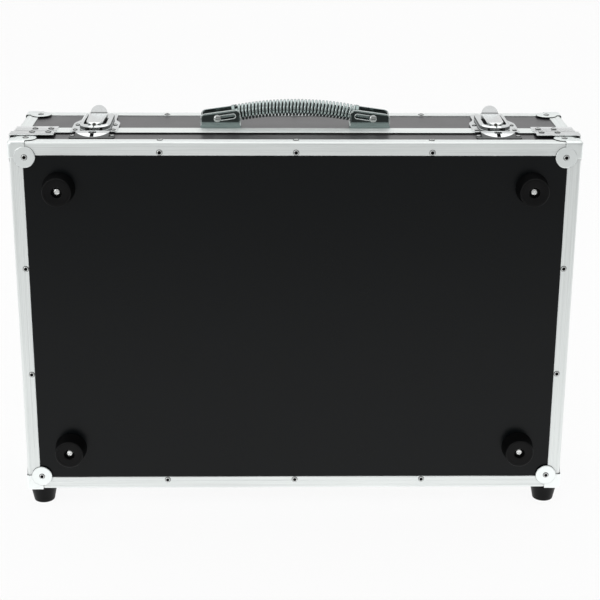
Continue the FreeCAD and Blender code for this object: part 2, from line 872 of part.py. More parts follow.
braces = []
brace_rivets = []
for x, z, quarter, lip in (("-half_width", "case_height", 0, True), ("half_width", "case_height", 90, True),
                           ("half_width", "0", 180, False), ("-half_width", "0", 270, False)):
    brace = corner_brace(lip)
    brace.Placement = Placement(spot(x, "lid_start", z), about_y(quarter))
    braces.append(brace)
solid("lid_corner_braces", Part.makeCompound(braces))

for side, out in (("-", -axis_x), ("", axis_x)):
    x_face = f"{side}(half_width + brace_thickness)"
    for along in ("brace_rivet_first", "brace_rivet_first + brace_rivet_pitch"):
        for back in ("brace_rivet_front", "brace_rivet_back"):
            y = f"lid_start + {back}"
            x_in = f"{side}(half_width - ({along}))"
            brace_rivets.append((spot(x_in, y, "case_height + brace_thickness"), axis_z))
            brace_rivets.append((spot(x_in, y, "-brace_thickness"), -axis_z))
            brace_rivets.append((spot(x_face, y, f"case_height - ({along})"), out))
            brace_rivets.append((spot(x_face, y, along), out))

foam_side = "skin + lining_gap"
foam_back = "case_depth - profile_thickness - panel_thickness"
block("lid_foam", f"-half_width + {foam_side}", f"{foam_back} - foam_thickness", foam_side,
      f"case_width - 2 * ({foam_side})", "foam_thickness", f"case_height - 2 * ({foam_side})")

lid_foot_places = stand_foot_places("case_depth - cap_inset")
fitted("lid_stand_feet", stand_foot, lid_foot_places)
fitted("lid_stand_foot_screws", foot_screw(), lid_foot_places)

# Hinges under the bottom edge

hinge_rivets = {"base": [], "lid": []}
hinge_pins = []
for name, x in (("left", "-hinge_place"), ("right", "hinge_place")):
    leaf = hinge_leaf(f"hinge_base_leaf_{name}", 1, "hinge_drop + profile_thickness")
    place(leaf, x, "base_depth", "-hinge_drop", half_turn)
    leaf = hinge_leaf(f"hinge_lid_leaf_{name}", 0, "hinge_drop")
    place(leaf, x, "base_depth", "-hinge_drop")
    hinge_pin = bar(f"hinge_pin_{name}", "hinge_pin_radius", "hinge_length")
    place(hinge_pin, f"{x} - hinge_length / 2", "base_depth", "-hinge_drop", about_y(90))
    hinge_pins.append(hinge_pin)
    for along in ("-hinge_rivet_pitch", "0", "hinge_rivet_pitch"):
        y = "(hinge_leaf_width + hinge_knuckle_radius + hinge_gap + 2 * hinge_leaf_thickness) / 2"
        base_z = "profile_thickness - hinge_leaf_thickness"
        hinge_rivets["base"].append((spot(f"{x} + {along}", f"base_depth - {y}", base_z), -axis_z))
        hinge_rivets["lid"].append((spot(f"{x} + {along}", f"base_depth + {y}", "-hinge_leaf_thickness"),
                                    -axis_z))
group("hinge_pins", hinge_pins)


def rivets(label, places, radius="rivet_radius"):
    solid(label, Part.makeCompound([rivet(at, out, radius) for at, out in places]))


rivets("base_rivets", (edge_rivet_places("0", "rivet_inset")
                       + cap_rivet_places("-cap_thickness", "cap_inset")
                       + hinge_rivets["base"]))
rivets("lid_rivets", (edge_rivet_places("case_depth", "case_depth - rivet_inset")
                      + cap_rivet_places("case_depth + cap_thickness", "case_depth - cap_inset")
                      + brace_rivets
                      + hinge_rivets["lid"]))

# Latches: each plate with its raised rim, lever, key plug and claw stands on the lid's top,
# and its strike on the base. Local y = 0 is the plate's front edge and z = 0 the top surface.


def latch_plate(label):
    """A formed plate with a raised U-shaped rim, open at the back, round the lever."""
    body = add("PartDesign::Body", label)
    outline = sketch(body, "XY_Plane")
    half = [
        ("latch_front_half_width", "0"),
        ("latch_front_half_width", "latch_shoulder"),
        ("latch_rear_half_width", "latch_waist"),
        ("latch_rear_half_width", "latch_length"),
    ]
    polygon(outline, half + [(f"-{x}", y) for x, y in reversed(half)])
    pad(body, outline, "latch_plate_thickness")
    bevel_edges(body, "latch_corner", lambda e: straight_along(e, axis_z))
    # Behind the closing profile the plate steps down to the laminate.
    step = sketch(body, "XY_Plane")
    step_front = "lid_start + closing_width + bracket_gap - latch_start"
    step_side = "latch_rear_half_width - latch_corner"
    polygon(step, [
        (f"-({step_side})", step_front),
        (step_side, step_front),
        (step_side, "latch_length - latch_corner"),
        (f"-({step_side})", "latch_length - latch_corner"),
    ])
    pad(body, step, "profile_thickness", backwards=True)
    rim = sketch(body, "XY_Plane")
    for radius in ("rim_radius", "rim_radius - rim_wall"):
        half_round(rim, radius)
    bridge_ends(rim)
    pad(body, rim, "rim_height")
    bevel_edges(body, "rim_bevel", lambda e: (
        near(e.BoundBox.ZMin, "rim_height")
        and near(e.BoundBox.ZMax, "rim_height")
        and on_outer_rim(e)
    ))
    window = sketch(body, "XY_Plane")
    polygon(window, [
        ("-rim_window_half_width", "-overrun"),
        ("rim_window_half_width", "-overrun"),
        ("rim_window_half_width", "rim_centre"),
        ("-rim_window_half_width", "rim_centre"),
    ])
    bind(window, "AttachmentOffset.Base.z", "latch_plate_thickness")
    pocket(body, window, "rim_window_height", backwards=True)
    key_slot = sketch(body, "XY_Plane", "rim_height")
    polygon(key_slot, [
        ("-key_slot_half_width", "-overrun"),
        ("key_slot_half_width", "-overrun"),
        ("key_slot_half_width", "rim_centre"),
        ("-key_slot_half_width", "rim_centre"),
    ])
    pocket(body, key_slot, "rim_height - latch_plate_thickness - rim_window_height + key_slot_half_width")
    claw_slot = sketch(body, "XY_Plane")
    polygon(claw_slot, [
        ("-claw_half_width - claw_fit", "-overrun"),
        ("claw_half_width + claw_fit", "-overrun"),
        ("claw_half_width + claw_fit", "claw_back + claw_fit"),
        ("-claw_half_width - claw_fit", "claw_back + claw_fit"),
    ])
    pocket(body, claw_slot, "latch_plate_thickness", backwards=True)
    bores = sketch(body, "YZ_Plane", "-pivot_outer")
    ring(bores, "lever_pivot_back", "lever_pivot_height", "pivot_radius")
    pocket(body, bores, "2 * pivot_outer", backwards=True)
    return body


def half_round(drawn, radius):
    """Half a circle that bulges towards -y, with straight legs back from its ends."""
    r = num(radius)
    c = num("rim_centre")
    end = num("rim_front + rim_length")
    arc = drawn.addGeometry(Part.ArcOfCircle(Part.Circle(Vector(0, c, 0), Vector(0, 0, 1), r),
                                             math.pi, 2 * math.pi))
    left = drawn.addGeometry(Part.LineSegment(Vector(-r, c, 0), Vector(-r, end, 0)))
    right = drawn.addGeometry(Part.LineSegment(Vector(r, c, 0), Vector(r, end, 0)))
    pin_point(drawn, arc, 3, "0", "rim_centre")
    drawn.addConstraint(Sketcher.Constraint("Coincident", arc, 1, left, 1))
    drawn.addConstraint(Sketcher.Constraint("Coincident", arc, 2, right, 1))
    pin_point(drawn, left, 1, f"-({radius})", "rim_centre")
    index = drawn.addConstraint(Sketcher.Constraint("DistanceY", right, 1, c))
    bind(drawn, f"Constraints[{index}]", "rim_centre")
    pin_point(drawn, left, 2, f"-({radius})", "rim_front + rim_length")
    pin_point(drawn, right, 2, radius, "rim_front + rim_length")


def bridge_ends(drawn):
    """Joins the legs of the two half rounds drawn last, at the rear end of the rim."""
    end = num("rim_front + rim_length")
    outer = num("rim_radius")
    inner = num("rim_radius - rim_wall")
    last = drawn.GeometryCount
    for sign, first, second in ((-1, last - 5, last - 2), (1, last - 4, last - 1)):
        line = drawn.addGeometry(Part.LineSegment(Vector(sign * outer, end, 0), Vector(sign * inner, end, 0)))
        drawn.addConstraint(Sketcher.Constraint("Coincident", line, 1, first, 2))
        drawn.addConstraint(Sketcher.Constraint("Coincident", line, 2, second, 2))


def on_outer_rim(edge):
    middle = edge.valueAt((edge.FirstParameter + edge.LastParameter) / 2)
    behind = middle.y - num("rim_centre")
    reach = math.hypot(middle.x, behind) if behind < 0 else abs(middle.x)
    return near(reach, "rim_radius")


def lever(label):
    """The lever at rest in its rim: a barrel on the pivot line, a plate with folded sides, a tab."""
    plan = add("PartDesign::Body", f"{label}_plan", keep=False)
    outline = sketch(plan, "XY_Plane")
    r = num("lever_front_half_width")
    c = num("rim_centre")
    rear = num("lever_rear")
    wide = num("lever_rear_half_width")
    arc = outline.addGeometry(Part.ArcOfCircle(Part.Circle(Vector(0, c, 0), Vector(0, 0, 1), r),
                                               math.pi, 2 * math.pi))
    corners = [Vector(r, c, 0), Vector(wide, rear, 0), Vector(-wide, rear, 0), Vector(-r, c, 0)]
    lines = [outline.addGeometry(Part.LineSegment(a, b)) for a, b in zip(corners, corners[1:])]
    pin_point(outline, arc, 3, "0", "rim_centre")
    outline.addConstraint(Sketcher.Constraint("Coincident", arc, 2, lines[0], 1))
    outline.addConstraint(Sketcher.Constraint("Coincident", lines[0], 2, lines[1], 1))
    outline.addConstraint(Sketcher.Constraint("Coincident", lines[1], 2, lines[2], 1))
    outline.addConstraint(Sketcher.Constraint("Coincident", lines[2], 2, arc, 1))
    pin_point(outline, lines[0], 1, "lever_front_half_width", "rim_centre")
    index = outline.addConstraint(Sketcher.Constraint("DistanceY", arc, 1, c))
    bind(outline, f"Constraints[{index}]", "rim_centre")
    pin_point(outline, lines[0], 2, "lever_rear_half_width", "lever_rear")
    pin_point(outline, lines[1], 2, "-lever_rear_half_width", "lever_rear")
    pad(plan, outline, "lever_top + overrun")

    side = add("PartDesign::Body", f"{label}_side", keep=False)
    section = sketch(side, "YZ_Plane")
    circle(section, "lever_pivot_back", "lever_pivot_height", "lever_barrel_radius")
    pad(side, section, "2 * lever_rear_half_width", symmetric=True)
    plate = sketch(side, "YZ_Plane")
    polygon(plate, [
        ("lever_pivot_back", "lever_top"),
        ("lever_pivot_back", "lever_flange_bottom"),
        ("lever_rear - lever_flange_back", "lever_flange_bottom"),
        ("lever_rear", "lever_top - lever_thickness"),
        ("lever_rear", "lever_top"),
    ])
    pad(side, plate, "2 * lever_rear_half_width", symmetric=True)
    hollow = sketch(side, "XY_Plane", "lever_top - lever_thickness")
    inner = [
        ("lever_front_half_width - lever_flange_thickness", "lever_pivot_back + lever_barrel_radius"),
        ("lever_rear_half_width - lever_flange_thickness", "lever_rear + overrun"),
    ]
    polygon(hollow, inner + [(f"-({x})", y) for x, y in reversed(inner)])
    pocket(side, hollow, "lever_top")

    shaped = add("Part::Common", f"{label}_shaped", keep=False)
    shaped.Base = plan
    shaped.Tool = side
    disc = add("Part::Cylinder", f"{label}_disc", keep=False)
    bind(disc, "Radius", "tab_radius")
    bind(disc, "Height", "tab_thickness")
    disc.Angle = 180
    disc.Placement = Placement(Vector(), Rotation(axis_x, num("tab_angle")))
    bind(disc, "Placement.Base.y", "lever_rear")
    bind(disc, "Placement.Base.z", "lever_top - lever_thickness / 2")
    tabbed = add("Part::Fuse", f"{label}_tabbed", keep=False)
    tabbed.Base = shaped
    tabbed.Tool = disc
    bores = []
    for way in ("-", ""):
        bores.append(pivot_pin(f"{label}_bore_{way}", way, "pivot_radius + pivot_fit", clear=True))
    plug_bore = bar(f"{label}_plug_bore", "plug_radius + plug_fit", "plug_depth + overrun", clear=True)
    aim_plug(plug_bore, "plug_inner")
    bores.append(plug_bore)
    cutters = add("Part::MultiFuse", f"{label}_bores", keep=False)
    cutters.Shapes = bores
    whole = add("Part::Cut", label)
    whole.Base = tabbed
    whole.Tool = cutters
    return whole


def pivot_pin(label, way, radius, clear=False):
    """A short pin along X from the lever's barrel out into the rim, on one side."""
    stub = bar(label, radius, "pivot_outer - pivot_inner", clear)
    stub.Placement = Placement(Vector(), about_y(-90 if way else 90))
    bind(stub, "Placement.Base.x", f"{way}pivot_inner")
    bind(stub, "Placement.Base.y", "lever_pivot_back")
    bind(stub, "Placement.Base.z", "lever_pivot_height")
    return stub


def aim_plug(obj, out):
    """Sets an object's Z axis on the key plug's line, starting at a distance from the pivot line."""
    obj.Placement = Placement(Vector(), Rotation(axis_x, 90 - num("plug_angle")))
    bind(obj, "Placement.Base.y", f"lever_pivot_back - ({out}) * cos(plug_angle)")
    bind(obj, "Placement.Base.z", f"lever_pivot_height + ({out}) * sin(plug_angle)")


def key_plug(label):
    body = add("PartDesign::Body", label)
    face = sketch(body, "XY_Plane")
    ring(face, "0", "0", "plug_radius")
    pad(body, face, "plug_depth")
    keyway = sketch(body, "XY_Plane", "plug_depth")
    polygon(keyway, [
        ("-keyway_width / 2", "-keyway_length / 2"),
        ("keyway_width / 2", "-keyway_length / 2"),
        ("keyway_width / 2", "keyway_length / 2"),
        ("-keyway_width / 2", "keyway_length / 2"),
    ])
    pocket(body, keyway, "keyway_depth")
    return body


def claw(label):
    """The flat claw that reaches from under the barrel to the strike's hood."""
    body = add("PartDesign::Body", label)
    front = "strike_rear - claw_engagement - latch_start"
    bar = sketch(body, "XY_Plane", "claw_lift")
    polygon(bar, [
        ("-claw_half_width", front),
        ("claw_half_width", front),
        ("claw_half_width", "claw_back"),
        ("-claw_half_width", "claw_back"),
    ])
    pad(body, bar, "claw_thickness")
    tooth = sketch(body, "XY_Plane", "claw_lift")
    polygon(tooth, [
        ("-claw_tooth_half_width", front),
        ("claw_tooth_half_width", front),
        ("claw_tooth_half_width", f"{front} + claw_tooth_length"),
        ("-claw_tooth_half_width", f"{front} + claw_tooth_length"),
    ])
    pad(body, tooth, "claw_thickness + claw_tooth_height")
    return body


def strike(label):
    """A plate on the base with a pressed hood, open to the rear, and a T-shaped hole in it."""
    flange = add("PartDesign::Body", f"{label}_flange", keep=False)
    outline = sketch(flange, "XY_Plane")
    half = [
        ("strike_half_width", "strike_front"),
        ("strike_half_width", "strike_flange_rear"),
        ("strike_hood_half_width", "strike_flange_rear"),
        ("strike_hood_half_width", "strike_front + strike_strip"),
    ]
    polygon(outline, half + [(f"-{x}", y) for x, y in reversed(half)])
    pad(flange, outline, "strike_thickness")
    bevel_edges(flange, "strike_corner", lambda e: (
        straight_along(e, axis_z) and abs(e.CenterOfMass.x) > num("strike_hood_half_width + overrun")
    ))
    rolls = []
    for radius in ("hood_radius", "hood_radius - strike_thickness"):
        roll = add("Part::Cylinder", f"{label}_roll", keep=False)
        bind(roll, "Radius", radius)
        bind(roll, "Height", "2 * strike_hood_half_width")
        roll.Placement = Placement(Vector(), about_y(90))
        bind(roll, "Placement.Base.x", "-strike_hood_half_width")
        bind(roll, "Placement.Base.y", "strike_rear")
        bind(roll, "Placement.Base.z", "strike_hood_height - hood_radius")
        rolls.append(roll)
    sheet_roll = add("Part::Cut", f"{label}_sheet", keep=False)
    sheet_roll.Base, sheet_roll.Tool = rolls
    room = add("Part::Box", f"{label}_room", keep=False)
    bind(room, "Length", "2 * strike_hood_half_width")
    bind(room, "Width", "strike_rear - strike_front")
    bind(room, "Height", "strike_hood_height + overrun")
    bind(room, "Placement.Base.x", "-strike_hood_half_width")
    bind(room, "Placement.Base.y", "strike_front")
    hood = add("Part::Common", f"{label}_hood", keep=False)
    hood.Base = sheet_roll
    hood.Tool = room
    both = add("Part::Fuse", f"{label}_joined", keep=False)
    both.Base = flange
    both.Tool = hood
    hole = add("PartDesign::Body", f"{label}_hole", keep=False)
    outline = sketch(hole, "XY_Plane")
    half = [
        ("strike_hole_half_width", "strike_hole_rear"),
        ("strike_hole_half_width", "strike_hole_neck"),
        ("strike_stem_half_width", "strike_hole_neck"),
        ("strike_stem_half_width", "strike_hole_front"),
    ]
    polygon(outline, half + [(f"-{x}", y) for x, y in reversed(half)])
    pad(hole, outline, "strike_hood_height + overrun")
    whole = add("Part::Cut", label, keep=False)
    whole.Base = both
    whole.Tool = hole
    return whole


strikes = []
pivot_pins = []
strike_rivets = []
plate_rivets = []
for name, x in (("left", "-latch_place"), ("right", "latch_place")):
    plate = latch_plate(f"latch_plate_{name}")
    place(plate, x, "latch_start", "case_height")
    place(lever(f"lever_{name}"), x, "latch_start", "case_height")
    place(claw(f"claw_{name}"), x, "latch_start", "case_height")
    plug = key_plug(f"key_plug_{name}")
    place(plug, x, "latch_start + lever_pivot_back - plug_inner * cos(plug_angle)",
          "case_height + lever_pivot_height + plug_inner * sin(plug_angle)",
          Rotation(axis_x, 90 - num("plug_angle")))
    for way in ("-", ""):
        stub = pivot_pin(f"pivot_pin_{name}_{'inner' if way else 'outer'}", way, "pivot_radius")
        turned = stub.Placement.Rotation
        place(stub, f"{x} + {way}pivot_inner", "latch_start + lever_pivot_back",
              "case_height + lever_pivot_height", turned)
        pivot_pins.append(stub)
        rivet_x = f"{x} + {way}latch_rivet_half_pitch"
        for y in ("latch_rivet_front", "latch_rivet_back"):
            plate_rivets.append((spot(rivet_x, f"latch_start + {y}", "case_height + latch_plate_thickness"),
                                 axis_z))
        strike_x = f"{x} + {way}(strike_hood_half_width + strike_half_width) / 2"
        strike_rivets.append((spot(strike_x, "(strike_front + strike_strip + strike_flange_rear) / 2",
                                   "laminate_top + strike_thickness"), axis_z))
    strikes.append(strike(f"strike_{name}"))
    place(strikes[-1], x, "0", "laminate_top")
group("latch_strikes", strikes)
group("latch_pivot_pins", pivot_pins)
rivets("latch_plate_rivets", plate_rivets, "small_rivet_radius")
rivets("strike_rivets", strike_rivets, "small_rivet_radius")

# Handle: an arched coil spring over a core, whose strap ends slide in slotted brackets


def bracket(label):
    """One bracket, from its inner end at x = 0 outwards: a base with two slotted ears."""
    body = add("PartDesign::Body", label)
    base = sketch(body, "XZ_Plane")
    polygon(base, [
        ("0", "-profile_thickness"),
        ("bracket_length", "-profile_thickness"),
        ("bracket_length", "bracket_top - bracket_bevel"),
        ("bracket_length - bracket_bevel", "bracket_top"),
        ("bracket_bevel", "bracket_top"),
        ("0", "bracket_top - bracket_bevel"),
    ])
    pad(body, base, "2 * bracket_half_depth", symmetric=True)
    ears = sketch(body, "XZ_Plane")
    polygon(ears, [
        ("bracket_bevel", "0"),
        ("bracket_length - bracket_bevel", "0"),
        ("bracket_length - bracket_bevel", "ear_outer_height"),
        ("bracket_bevel", "ear_inner_height"),
    ])
    pad(body, ears, "2 * (ear_half_gap + ear_thickness)", symmetric=True)
    for height, radius in (("ear_inner_height", "ear_inner_round"), ("ear_outer_height", "ear_outer_round")):
        round_edges(body, radius, lambda e, top=height: (
            straight_along(e, axis_y) and near(e.CenterOfMass.z, top)
        ))
    gap = sketch(body, "YZ_Plane")
    polygon(gap, [
        ("-ear_half_gap", "bracket_top"),
        ("ear_half_gap", "bracket_top"),
        ("ear_half_gap", "ear_inner_height + overrun"),
        ("-ear_half_gap", "ear_inner_height + overrun"),
    ])
    pocket(body, gap, symmetric=True)
    slot = sketch(body, "XZ_Plane")
    draw_slot(slot)
    pocket(body, slot, symmetric=True)
    return body


def draw_slot(drawn):
    """A slot with round ends that rises inwards from the pin's place at rest."""
    outer = ("handle_pin_place - bracket_inner", "handle_pin_height")
    inner = (f"{outer[0]} - slot_travel * cos(slot_slope)", f"{outer[1]} + slot_travel * sin(slot_slope)")
    slope = math.radians(num("slot_slope"))
    ends = []
    for (x, z), turned in ((outer, -slope), (inner, math.pi - slope)):
        round_end = Part.Circle(Vector(num(x), num(z), 0), axis_z, num("slot_half_width"))
        half = Part.ArcOfCircle(round_end, turned - math.pi / 2, turned + math.pi / 2)
        ends.append(drawn.addGeometry(half))
    for first, second in (ends, reversed(ends)):
        start = drawn.getPoint(first, 2)
        finish = drawn.getPoint(second, 1)
        line = drawn.addGeometry(Part.LineSegment(start, finish))
        drawn.addConstraint(Sketcher.Constraint("Tangent", first, 2, line, 1))
        drawn.addConstraint(Sketcher.Constraint("Tangent", line, 2, second, 1))
    for geometry, (x, z) in zip(ends, (outer, inner)):
        pin_point(drawn, geometry, 3, x, z)
    index = drawn.addConstraint(Sketcher.Constraint("Radius", ends[0], num("slot_half_width")))
    bind(drawn, f"Constraints[{index}]", "slot_half_width")


def handle_pin():
    """A pin along its own Z axis, with a low domed head outside each ear."""
    shank = num("handle_pin_radius")
    head = num("handle_pin_head_radius")
    top = head * num("head_top_share")
    reach = num("ear_half_gap + ear_thickness + handle_pin_side_gap")
    edge = reach + num("handle_pin_head_height * pin_head_edge_share")
    crown = reach + num("handle_pin_head_height")
    upper = [(shank, reach), (head, reach), (head, edge), (top, crown)]
    return faceted([(r, -z) for r, z in reversed(upper)] + upper, round(num("turned_sides")))


def strap_end(label):
    """A forged end: an eye on the pin, a flat strap, a collar and a spigot along the local X axis."""
    body = add("PartDesign::Body", label)
    eye = sketch(body, "XZ_Plane")
    ring(eye, "0", "0", "eye_radius")
    pad(body, eye, "2 * strap_half_width", symmetric=True)
    strap = sketch(body, "XZ_Plane")
    polygon(strap, [
        ("0", "-strap_thickness / 2"),
        ("collar_end", "-strap_thickness / 2"),
        ("collar_end", "strap_thickness / 2"),
        ("0", "strap_thickness / 2"),
    ])
    pad(body, strap, "2 * strap_half_width", symmetric=True)
    for radius, start, length in (("collar_radius", "collar_end - collar_length", "collar_length"),
                                  ("core_radius", "collar_end", "strap_length - collar_end + spigot_length")):
        step = sketch(body, "YZ_Plane", start)
        ring(step, "0", "0", radius)
        pad(body, step, length)
    bore = sketch(body, "XZ_Plane")
    ring(bore, "0", "0", "handle_pin_radius + handle_pin_fit", clear=True)
    pocket(body, bore, symmetric=True)
    return body


bracket_rivets = []
for name, side, facing in (("left", "-", half_turn), ("right", "", Rotation())):
    place(bracket(f"handle_bracket_{name}"), f"{side}bracket_inner", "handle_y", "case_height", facing)
    pin_at = spot(f"{side}handle_pin_place", "handle_y", "case_height + handle_pin_height")
    fitted(f"handle_pin_{name}", handle_pin(), [pin_at], Rotation(axis_x, 90))
    # The strap's local X axis points inwards and up along the end of the arch.
    tilt = about_y(-num("arch_angle"))
    aimed = tilt if name == "left" else half_turn * tilt
    place(strap_end(f"handle_strap_end_{name}"), f"{side}handle_pin_place", "handle_y",
          "case_height + handle_pin_height", aimed)
    for along in ("bracket_rivet_inner", "bracket_rivet_outer"):
        bracket_rivets.append((spot(f"{side}(bracket_inner + {along})", "handle_y",
                                    "case_height + bracket_top"), axis_z))
rivets("handle_bracket_rivets", bracket_rivets, "small_rivet_radius")



def grip_core():
    """A cord along the arch, as a flat-sided section turned about the arch's own centre."""
    angle = num("core_angle")
    radius = num("core_radius")
    sides = round(num("core_sides"))
    centre = Vector(0, 0, -num("handle_arch_radius"))
    outline = []
    for step in range(sides):
        turned = 2 * math.pi * step / sides
        outline.append(Vector(0, radius * math.sin(turned), radius * math.cos(turned)))
    section = Part.Face(Part.makePolygon(outline + outline[:1]))
    section.rotate(centre, axis_y, -angle)
    return section.revolve(centre, axis_y, 2 * angle)


solid("handle_core", grip_core(), spot("0", "handle_y", "case_height + handle_mid_height"))


def arc_between(start, towards, end):
    """The arc from start to end whose tangents at both meet at the point towards."""
    chord = end - start
    middle = (start + end) * 0.5
    rise = towards - middle
    half = chord.Length / 2
    sag = half * math.tan(math.atan2(rise.Length, half) / 2)
    return Part.Arc(start, middle + rise.normalize() * sag, end).toShape()


def biarc(start, start_way, end, end_way):
    """Two arcs that join two points smoothly along the given directions."""
    gap = end - start
    ways = start_way + end_way
    spread = 2 * (1 - start_way.dot(end_way))
    along = gap.dot(ways)
    arm = (math.sqrt(along * along + spread * gap.dot(gap)) - along) / spread
    first = start + start_way * arm
    second = end - end_way * arm
    middle = (first + second) * 0.5
    return [arc_between(start, first, middle), arc_between(middle, second, end)]


def grip_spring():
    """One unbroken flat-sided wire wound along the arch, with a short straight run at each end."""
    turns = round(num("spring_turns"))
    arch = num("handle_arch_radius")
    reach = math.radians(num("arch_angle"))
    wire = num("spring_wire")
    coil = num("spring_radius") - wire / 2

    def at(turned):
        """The wire's centre after a number of turns, round the middle of the arch's top."""
        angle = reach * (2 * turned / turns - 1)
        wound = 2 * math.pi * turned
        out = arch + coil * math.cos(wound)
        return Vector(out * math.sin(angle), coil * math.sin(wound), out * math.cos(angle) - arch)

    def heading(turned):
        nudge = 1e-4
        return (at(turned + nudge) - at(turned - nudge)).normalize()

    stops = [half / 2 for half in range(2 * turns + 1)]
    places = [at(stop) for stop in stops]
    ways = [heading(stop) for stop in stops]
    lead_in = places[0] - ways[0] * wire
    lead_out = places[-1] + ways[-1] * wire
    edges = [Part.makeLine(lead_in, places[0])]
    for number in range(2 * turns):
        edges += biarc(places[number], ways[number], places[number + 1], ways[number + 1])
    edges.append(Part.makeLine(places[-1], lead_out))
    path = Part.Wire(edges)
    sides = round(num("spring_sides"))
    across = ways[0].cross(axis_z).normalize()
    over = across.cross(ways[0]).normalize()
    ring = []
    for side in range(sides):
        turned = 2 * math.pi * (side + 0.5) / sides
        ring.append(lead_in + (across * math.cos(turned) + over * math.sin(turned)) * (wire / 2))
    section = Part.makePolygon(ring + ring[:1])
    spring = path.makePipeShell([section], True, False)
    samples = 24
    line = [at(number / samples) for number in range(samples * turns + 1)]
    least = min((line[a] - line[b]).Length
                for a in range(len(line)) for b in range(a + samples // 2, min(len(line), a + 2 * samples)))
    print("spring: least gap to itself", round(least - wire, 2), "mm, volume", round(spring.Volume),
          "against", round(spring_area(sides, wire) * path.Length))
    return spring


def spring_area(sides, wire):
    """The area of a regular section drawn inside the wire's circle."""
    return sides / 2 * (wire / 2) ** 2 * math.sin(2 * math.pi / sides)


solid("handle_spring", grip_spring(), spot("0", "handle_y", "case_height + handle_mid_height"))

doc.recompute()
os.makedirs("parts", exist_ok=True)
for obj in doc.Objects:
    if "Invalid" in obj.State or "Error" in obj.State:
        raise RuntimeError(f"{obj.Label} failed: {obj.State}")
for obj in exported:
    if obj.Shape.isNull() or not obj.Shape.isValid():
        raise RuntimeError(f"{obj.Label} has no valid shape")
for obj in exported:
    obj.Shape.exportStep(f"parts/{obj.Label}.step")
print(len(exported), "nodes written")
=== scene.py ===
import json
import math

import bmesh
import bpy
import numpy as np
from mathutils import Matrix, Vector

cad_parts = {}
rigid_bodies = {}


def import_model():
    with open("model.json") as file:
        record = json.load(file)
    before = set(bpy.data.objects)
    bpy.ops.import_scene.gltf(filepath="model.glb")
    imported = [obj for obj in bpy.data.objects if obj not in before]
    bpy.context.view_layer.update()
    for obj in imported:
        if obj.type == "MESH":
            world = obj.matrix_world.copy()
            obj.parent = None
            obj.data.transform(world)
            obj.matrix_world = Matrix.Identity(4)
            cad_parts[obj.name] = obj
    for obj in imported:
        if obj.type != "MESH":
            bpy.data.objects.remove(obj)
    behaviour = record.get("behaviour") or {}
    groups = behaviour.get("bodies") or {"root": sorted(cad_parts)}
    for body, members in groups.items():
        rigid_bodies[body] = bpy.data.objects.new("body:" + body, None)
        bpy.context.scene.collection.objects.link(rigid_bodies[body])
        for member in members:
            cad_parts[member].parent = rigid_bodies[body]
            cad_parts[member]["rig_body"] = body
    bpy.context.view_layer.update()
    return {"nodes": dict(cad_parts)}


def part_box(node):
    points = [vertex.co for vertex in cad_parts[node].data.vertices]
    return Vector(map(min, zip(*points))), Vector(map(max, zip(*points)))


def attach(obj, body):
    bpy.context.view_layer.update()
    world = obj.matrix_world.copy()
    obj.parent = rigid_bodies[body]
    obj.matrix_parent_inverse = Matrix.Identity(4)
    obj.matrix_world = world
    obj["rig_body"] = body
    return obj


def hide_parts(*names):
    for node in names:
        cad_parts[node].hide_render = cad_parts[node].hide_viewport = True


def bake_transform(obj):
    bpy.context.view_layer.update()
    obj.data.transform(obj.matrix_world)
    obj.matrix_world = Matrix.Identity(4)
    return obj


# A guitar pedal case, standing on its hinge side. New pieces are worked out in millimetres in
# case coordinates: X along the case, Y from the board's underside towards the lid, Z up, from
# the bottom front edge of the closed case. toFrame() takes them into the CAD frame, in metres.

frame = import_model()
nodes = frame["nodes"]
print("frame loaded,", len(nodes), "nodes")

case = {
    "width": 600, "height": 400, "depth": 145,
    "baseEnd": 39.3, "lidStart": 40.7, "middleY": 64.75, "footHeight": 20,
}
halfWidth = case["width"] / 2
top = case["height"]
millimetre = 0.001


def toFrame(points):
    shift = np.array([0, -case["middleY"], case["footHeight"]])
    return (np.asarray(points, float) + shift) * millimetre


# Materials


class Wire:
    # one value inside a material; arithmetic on it adds Math nodes
    def __init__(self, finish, socket):
        self.finish = finish
        self.socket = socket

    def math(self, operation, *values):
        return self.finish.node("Math", {"operation": operation}, list(values))

    def __add__(self, other):
        return self.math("ADD", self, other)

    __radd__ = __add__

    def __mul__(self, other):
        return self.math("MULTIPLY", self, other)

    __rmul__ = __mul__

    def __sub__(self, other):
        return self.math("SUBTRACT", self, other)

    def __rsub__(self, other):
        return self.math("SUBTRACT", other, self)

    def __truediv__(self, other):
        return self.math("DIVIDE", self, other)

    def __pow__(self, other):
        return self.math("POWER", self, other)

    def least(self, other):
        return self.math("MINIMUM", self, other)

    def near(self, value, width):
        # 1 within width of a value, falling to 0 over the same width again
        gap = (self - value).size()
        return 1 - gap.rising(width, 2 * width)

    def below(self, value):
        return self.math("LESS_THAN", self, value)

    def above(self, value):
        return self.math("GREATER_THAN", self, value)

    def within(self, low, high):
        return self.above(low) * self.below(high)

    def size(self):
        return self.math("ABSOLUTE", self)

    def rising(self, low, high):
        return self.finish.node("MapRange", {"interpolation_type": "SMOOTHSTEP"},
                                {"Value": self, "From Min": low, "From Max": high})


